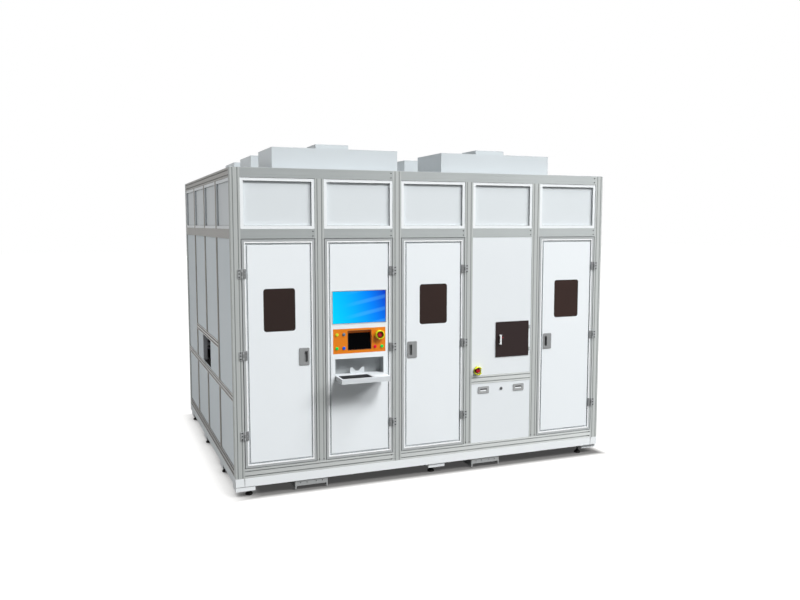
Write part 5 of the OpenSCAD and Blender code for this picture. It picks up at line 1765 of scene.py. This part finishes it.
@dataclass
class DrillingBed:
    """Fittings on the granite bed, the table and the scan head.

    Attributes:
        buffer_radius: Radius of a rail's rubber buffer.
        buffer_side: Distance of the buffers from the bed's middle line.
        buffer_inset: Distance of a buffer's seat from the bed's end.
        clamp_count: How many clamps hold the workpiece.
        clamp_inset: Distance of a clamp from the chuck's edge.
        lens_inset: Distance of the lens's axis from the scan head's left side.
        handle_inset: Distance of the cabinet's handle from the cabinet's left side.
    """

    buffer_radius: float = 22 * MM
    buffer_side: float = 60 * MM
    buffer_inset: float = 4 * MM
    clamp_count: int = 3
    clamp_inset: float = 26 * MM
    lens_inset: float = 85 * MM
    handle_inset: float = 46 * MM

    def dress(self) -> None:
        """Adds every fitting."""
        self._rail_buffers()
        self._clamps()
        self._lens()
        self._cabinet_handle()

    def _rail_buffers(self) -> None:
        """Adds rubber buffers at the table's ends of travel."""
        low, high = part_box("granite_bed")
        radius = self.buffer_radius
        base = [(0, 0), (radius, 0), (radius, 20 * MM)]
        nose = [(radius * 0.7, 28 * MM), (radius * 0.6, 32 * MM), (0, 32 * MM)]
        with Piece("rail_buffers", "enclosure", Palette.rubber, "black_rubber") as buffers:
            for side in (-1, 1):
                y = (low.y + high.y) / 2 + side * self.buffer_side
                for x, direction in ((low.x + self.buffer_inset, 1), (high.x - self.buffer_inset, -1)):
                    buffers.lathe((x, y, high.z + radius + MM), (direction, 0, 0), base + nose)

    def _clamps(self) -> None:
        """Adds knobbed clamps along the chuck's loading edge."""
        low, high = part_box("vacuum_chuck")
        stem = millimetres((0, 0), (5, 0), (5, 22), (0, 22))
        knob = millimetres((0, 0), (13, 0), (17, 5), (17, 20), (12, 26), (0, 27))
        x = low.x + self.clamp_inset
        with (
            Piece("clamp_knobs", "work_table", Palette.black, "black_plastic") as knobs,
            Piece("work_clamps", "work_table", Palette.dark_steel, "zinc") as arms,
        ):
            for number in range(self.clamp_count):
                y = low.y + (high.y - low.y) * (number + 0.5) / self.clamp_count
                seat, arm, top = high.z, high.z + 24 * MM, high.z + 34 * MM
                arms.block((x - 16 * MM, y - 14 * MM, seat), (x + 16 * MM, y + 14 * MM, arm), 2 * MM)
                arms.block((x - 4 * MM, y - 9 * MM, arm), (x + 62 * MM, y + 9 * MM, top), 2 * MM)
                arms.lathe((x + 16 * MM, y, top), UP, stem, sides=16)
                knobs.lathe((x + 16 * MM, y, high.z + 54 * MM), UP, knob)

    def _lens(self) -> None:
        """Adds the lens glass and its ring under the scan head."""
        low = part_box("scan_head")[0]
        x, y = low.x + self.lens_inset, middle("bridge_carriage").y
        profile = millimetres((52.2, 0), (54, 1), (54, 14), (52.2, 15))
        with Piece("lens_ring", "focus_head", Palette.steel, "bright_steel") as ring:
            ring.lathe((x, y, low.z + 10 * MM), UP, profile, sides=72)
        profile = millimetres((0, 0), (40, 0), (40, 2.5), (24, 4), (0, 5))
        with Piece("lens_glass", "focus_head", Palette.glass, "touch_glass") as glass:
            glass.lathe((x, y, low.z + 2 * MM), DOWN, profile, sides=48)

    def _cabinet_handle(self) -> None:
        """Adds the swing handle of the electrical cabinet."""
        low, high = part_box("electrical_cabinet")
        x, z = low.x + self.handle_inset, (low.z + high.z) / 2
        seat, front = low.y - 6 * MM, low.y - 24 * MM
        with Piece("cabinet_handle", "enclosure", Palette.black, "black_plastic") as handle:
            handle.block((x - 17 * MM, seat, z - 95 * MM), (x + 17 * MM, low.y, z + 95 * MM), 2.5 * MM)
            handle.block((x - 10 * MM, front, z - 78 * MM), (x + 10 * MM, seat, z + 70 * MM), 4 * MM)


# ---------------------------------------------------------------- studio


@dataclass(frozen=True)
class Lamp:
    """A round soft lamp that faces the machine's middle.

    Attributes:
        name: The lamp's name.
        towards: Its direction from the machine's middle.
        light: Light that it sends to the middle, in watts per square metre.
        size: Its diameter.
        distance: How far it hangs from the middle.
    """

    name: str
    towards: Point
    light: float
    size: float
    distance: float

    def hang(self) -> None:
        """Adds the lamp, with the power that gives its light at its distance."""
        data = bpy.data.lights.new(self.name, "AREA")
        data.shape = "DISK"
        data.size = self.size
        data.energy = self.light * math.pi * self.distance**2
        lamp = bpy.data.objects.new(self.name, data)
        direction = Vector(self.towards).normalized()
        lamp.location = Vector((0, 0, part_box("posts")[1].z / 2)) + direction * self.distance
        lamp.rotation_euler = direction.to_track_quat("Z", "Y").to_euler()
        bpy.context.scene.collection.objects.link(lamp)


@dataclass
class Studio:
    """Floor, backdrop, lamps and camera.

    Attributes:
        focal_share: The lens's focal length as a share of the sensor's width.
        yaw: How far the camera turns to the right of +Y, in degrees.
        pitch: How far it looks down, in degrees.
        place: The camera's place from the frame's front left corner on the floor.
        sensor: Width of the camera's sensor, in millimetres.
        far: How far the camera sees.
        floor_reach: Half the floor's side.
        floor_colour: The floor's colour.
        floor_glow: Colour of the light that lifts the open floor towards white where it is seen.
        painted_shadow_reach: How far the painted contact shadow reaches.
        contact: Openness at which the painted shadow makes the floor darkest, and at which it leaves it white.
        under: Distance from the base's outline at which the painted shadow makes the floor darkest, and at which
            it leaves it white.
        under_left: The same on the left, where the painted shadow is softer.
        shade: Share of the lift that stays in the painted shadow under the machine.
        fill: Strength of the even light from all round.
        fill_colour: Its colour.
        lamps: The lamps that hang round the machine.
    """

    focal_share: float = 0.97625
    yaw: float = 21.80
    pitch: float = 5.54
    place: Point = (-1.1015, -6.5029, 2.3208)
    sensor: float = 36.0
    far: float = 200.0
    floor_reach: float = 60.0
    floor_colour: Colour = (0.13, 0.127, 0.124)
    floor_glow: Colour = (1.0, 0.997, 0.99)
    painted_shadow_reach: float = 0.25
    contact: tuple[float, float] = (0.1, 0.7)
    under: tuple[float, float] = (-0.01, 0.12)
    under_left: tuple[float, float] = (-0.30, 0.16)
    shade: float = 0.06
    fill: float = 0.13
    fill_colour: Colour = (0.95, 0.98, 1.0)
    lamps: Sequence[Lamp] = (
        Lamp("front_lamp", (0.27, -0.58, 0.77), 2.35, 14.0, 50.0),
        Lamp("right_lamp", (0.71, -0.49, 0.51), 1.88, 11.4, 40.0),
        Lamp("high_lamp", (0.50, -0.29, 0.81), 1.2, 13.0, 50.0),
        Lamp("left_lamp", (-0.99, -0.10, -0.05), 0.37, 2.0, 9.0),
        Lamp("high_left_lamp", (-0.62, -0.15, 0.77), 0.35, 14.0, 50.0),
        Lamp("back_lamp", (0.10, 0.97, 0.20), 1.7, 18.0, 50.0),
    )

    def build(self) -> None:
        """Makes everything around the machine."""
        self._camera()
        self._floor()
        self._world()
        for lamp in self.lamps:
            lamp.hang()
        bpy.context.scene.view_settings.view_transform = "Standard"

    def _camera(self) -> None:
        """Places the camera where the machine's front and left side are both seen."""
        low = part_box("posts")[0]
        data = bpy.data.cameras.new("studio_camera")
        data.sensor_width = self.sensor
        data.lens = self.focal_share * data.sensor_width
        data.clip_end = self.far
        camera = bpy.data.objects.new("studio_camera", data)
        camera.location = (low.x + self.place[0], low.y + self.place[1], self.place[2])
        camera.rotation_euler = (math.radians(90 - self.pitch), 0, math.radians(-self.yaw))
        bpy.context.scene.collection.objects.link(camera)
        bpy.context.scene.camera = camera

    @staticmethod
    def _seen(graph: Graph) -> Socket:
        """Tells apart the rays that show the surroundings and those that light the machine.

        Args:
            graph: The graph that uses the mask.

        Returns:
            The socket of a mask, 1 for rays that show them.
        """
        rays = graph.add("LightPath").outputs
        sharp = graph.math("MAXIMUM", rays["Is Glossy Ray"], rays["Is Transmission Ray"])
        return graph.math("MAXIMUM", rays["Is Camera Ray"], sharp)

    def _floor(self) -> None:
        """Lays a pale floor that keeps the machine's cast shadow and has a painted shadow under and beside its
        base.
        """
        reach = self.floor_reach
        data = bpy.data.meshes.new("studio_floor")
        corners = [(-reach, -reach, 0), (reach, -reach, 0), (reach, reach, 0), (-reach, reach, 0)]
        data.from_pydata(corners, [], [(0, 1, 2, 3)])
        made = bpy.data.materials.new("studio_floor")
        made.use_nodes = True
        made.node_tree.nodes.clear()
        graph = Graph(made.node_tree)
        diffuse = graph.add("BsdfDiffuse", Color=(*self.floor_colour, 1))
        # The glow is painted out near and under the machine: a painted contact shadow.
        open_sky = graph.add("AmbientOcclusion", {"samples": 8}, Distance=self.painted_shadow_reach).outputs["AO"]
        clear = graph.math("MULTIPLY", graph.ramp(open_sky, *self.contact), self._outside_painted_shadow(graph))
        lift = graph.math("MULTIPLY", self._seen(graph), graph.math("MAXIMUM", clear, self.shade))
        glow = graph.add("Emission", Color=(*self.floor_glow, 1), Strength=lift)
        both = graph.joined(graph.add("AddShader"), {0: diffuse.outputs[0], 1: glow.outputs[0]})
        graph.add("OutputMaterial", Surface=both)
        floor = bpy.data.objects.new("studio_floor", data)
        data.materials.append(made)
        bpy.context.scene.collection.objects.link(floor)

    def _outside_painted_shadow(self, graph: Graph) -> Socket:
        """Returns a mask of the floor outside the painted shadow round the base's outline, with a soft edge.

        Args:
            graph: The floor's nodes.

        Returns:
            The mask's socket.
        """
        low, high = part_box("base_frame")
        x, y, _ = graph.parts(graph.place())
        left = graph.math("SUBTRACT", low.x, x)
        right = graph.math("SUBTRACT", x, high.x)
        front = graph.math("SUBTRACT", low.y, y)
        back = graph.math("SUBTRACT", y, high.y)
        rest = graph.math("MAXIMUM", graph.math("MAXIMUM", front, back), right)
        return graph.math("MAXIMUM", graph.ramp(rest, *self.under), graph.ramp(left, *self.under_left))

    def _world(self) -> None:
        """Makes an even surrounding that lights the machine softly and is seen as white."""
        world = bpy.data.worlds.new("studio_world")
        bpy.context.scene.world = world
        world.use_nodes = True
        world.node_tree.nodes.clear()
        graph = Graph(world.node_tree)
        fill = graph.add("Background", Color=(*self.fill_colour, 1), Strength=self.fill)
        white = graph.add("Background", Color=WHITE, Strength=1.0)
        shown = {"Fac": self._seen(graph), 1: fill.outputs[0], 2: white.outputs[0]}
        graph.add("OutputWorld", Surface=graph.joined(graph.add("MixShader"), shown))


def main() -> None:
    """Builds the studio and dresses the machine."""
    logging.basicConfig(level=logging.INFO, format="%(message)s")
    Studio().build()
    CarriedOver().dress()
    assemblies: list[object] = [Enclosure(), SteelBase(), RoofUnits(), LoadingWindow(), HingeScrews()]
    assemblies += [DoorTrim(body) for body in ("door_1", "door_3", "door_5")]
    assemblies += [Console(), FourthBay(), DrillingBed()]
    for assembly in assemblies:
        assembly.dress()
        log.info("%s done", type(assembly).__name__)


if __name__ == "__main__":
    main()
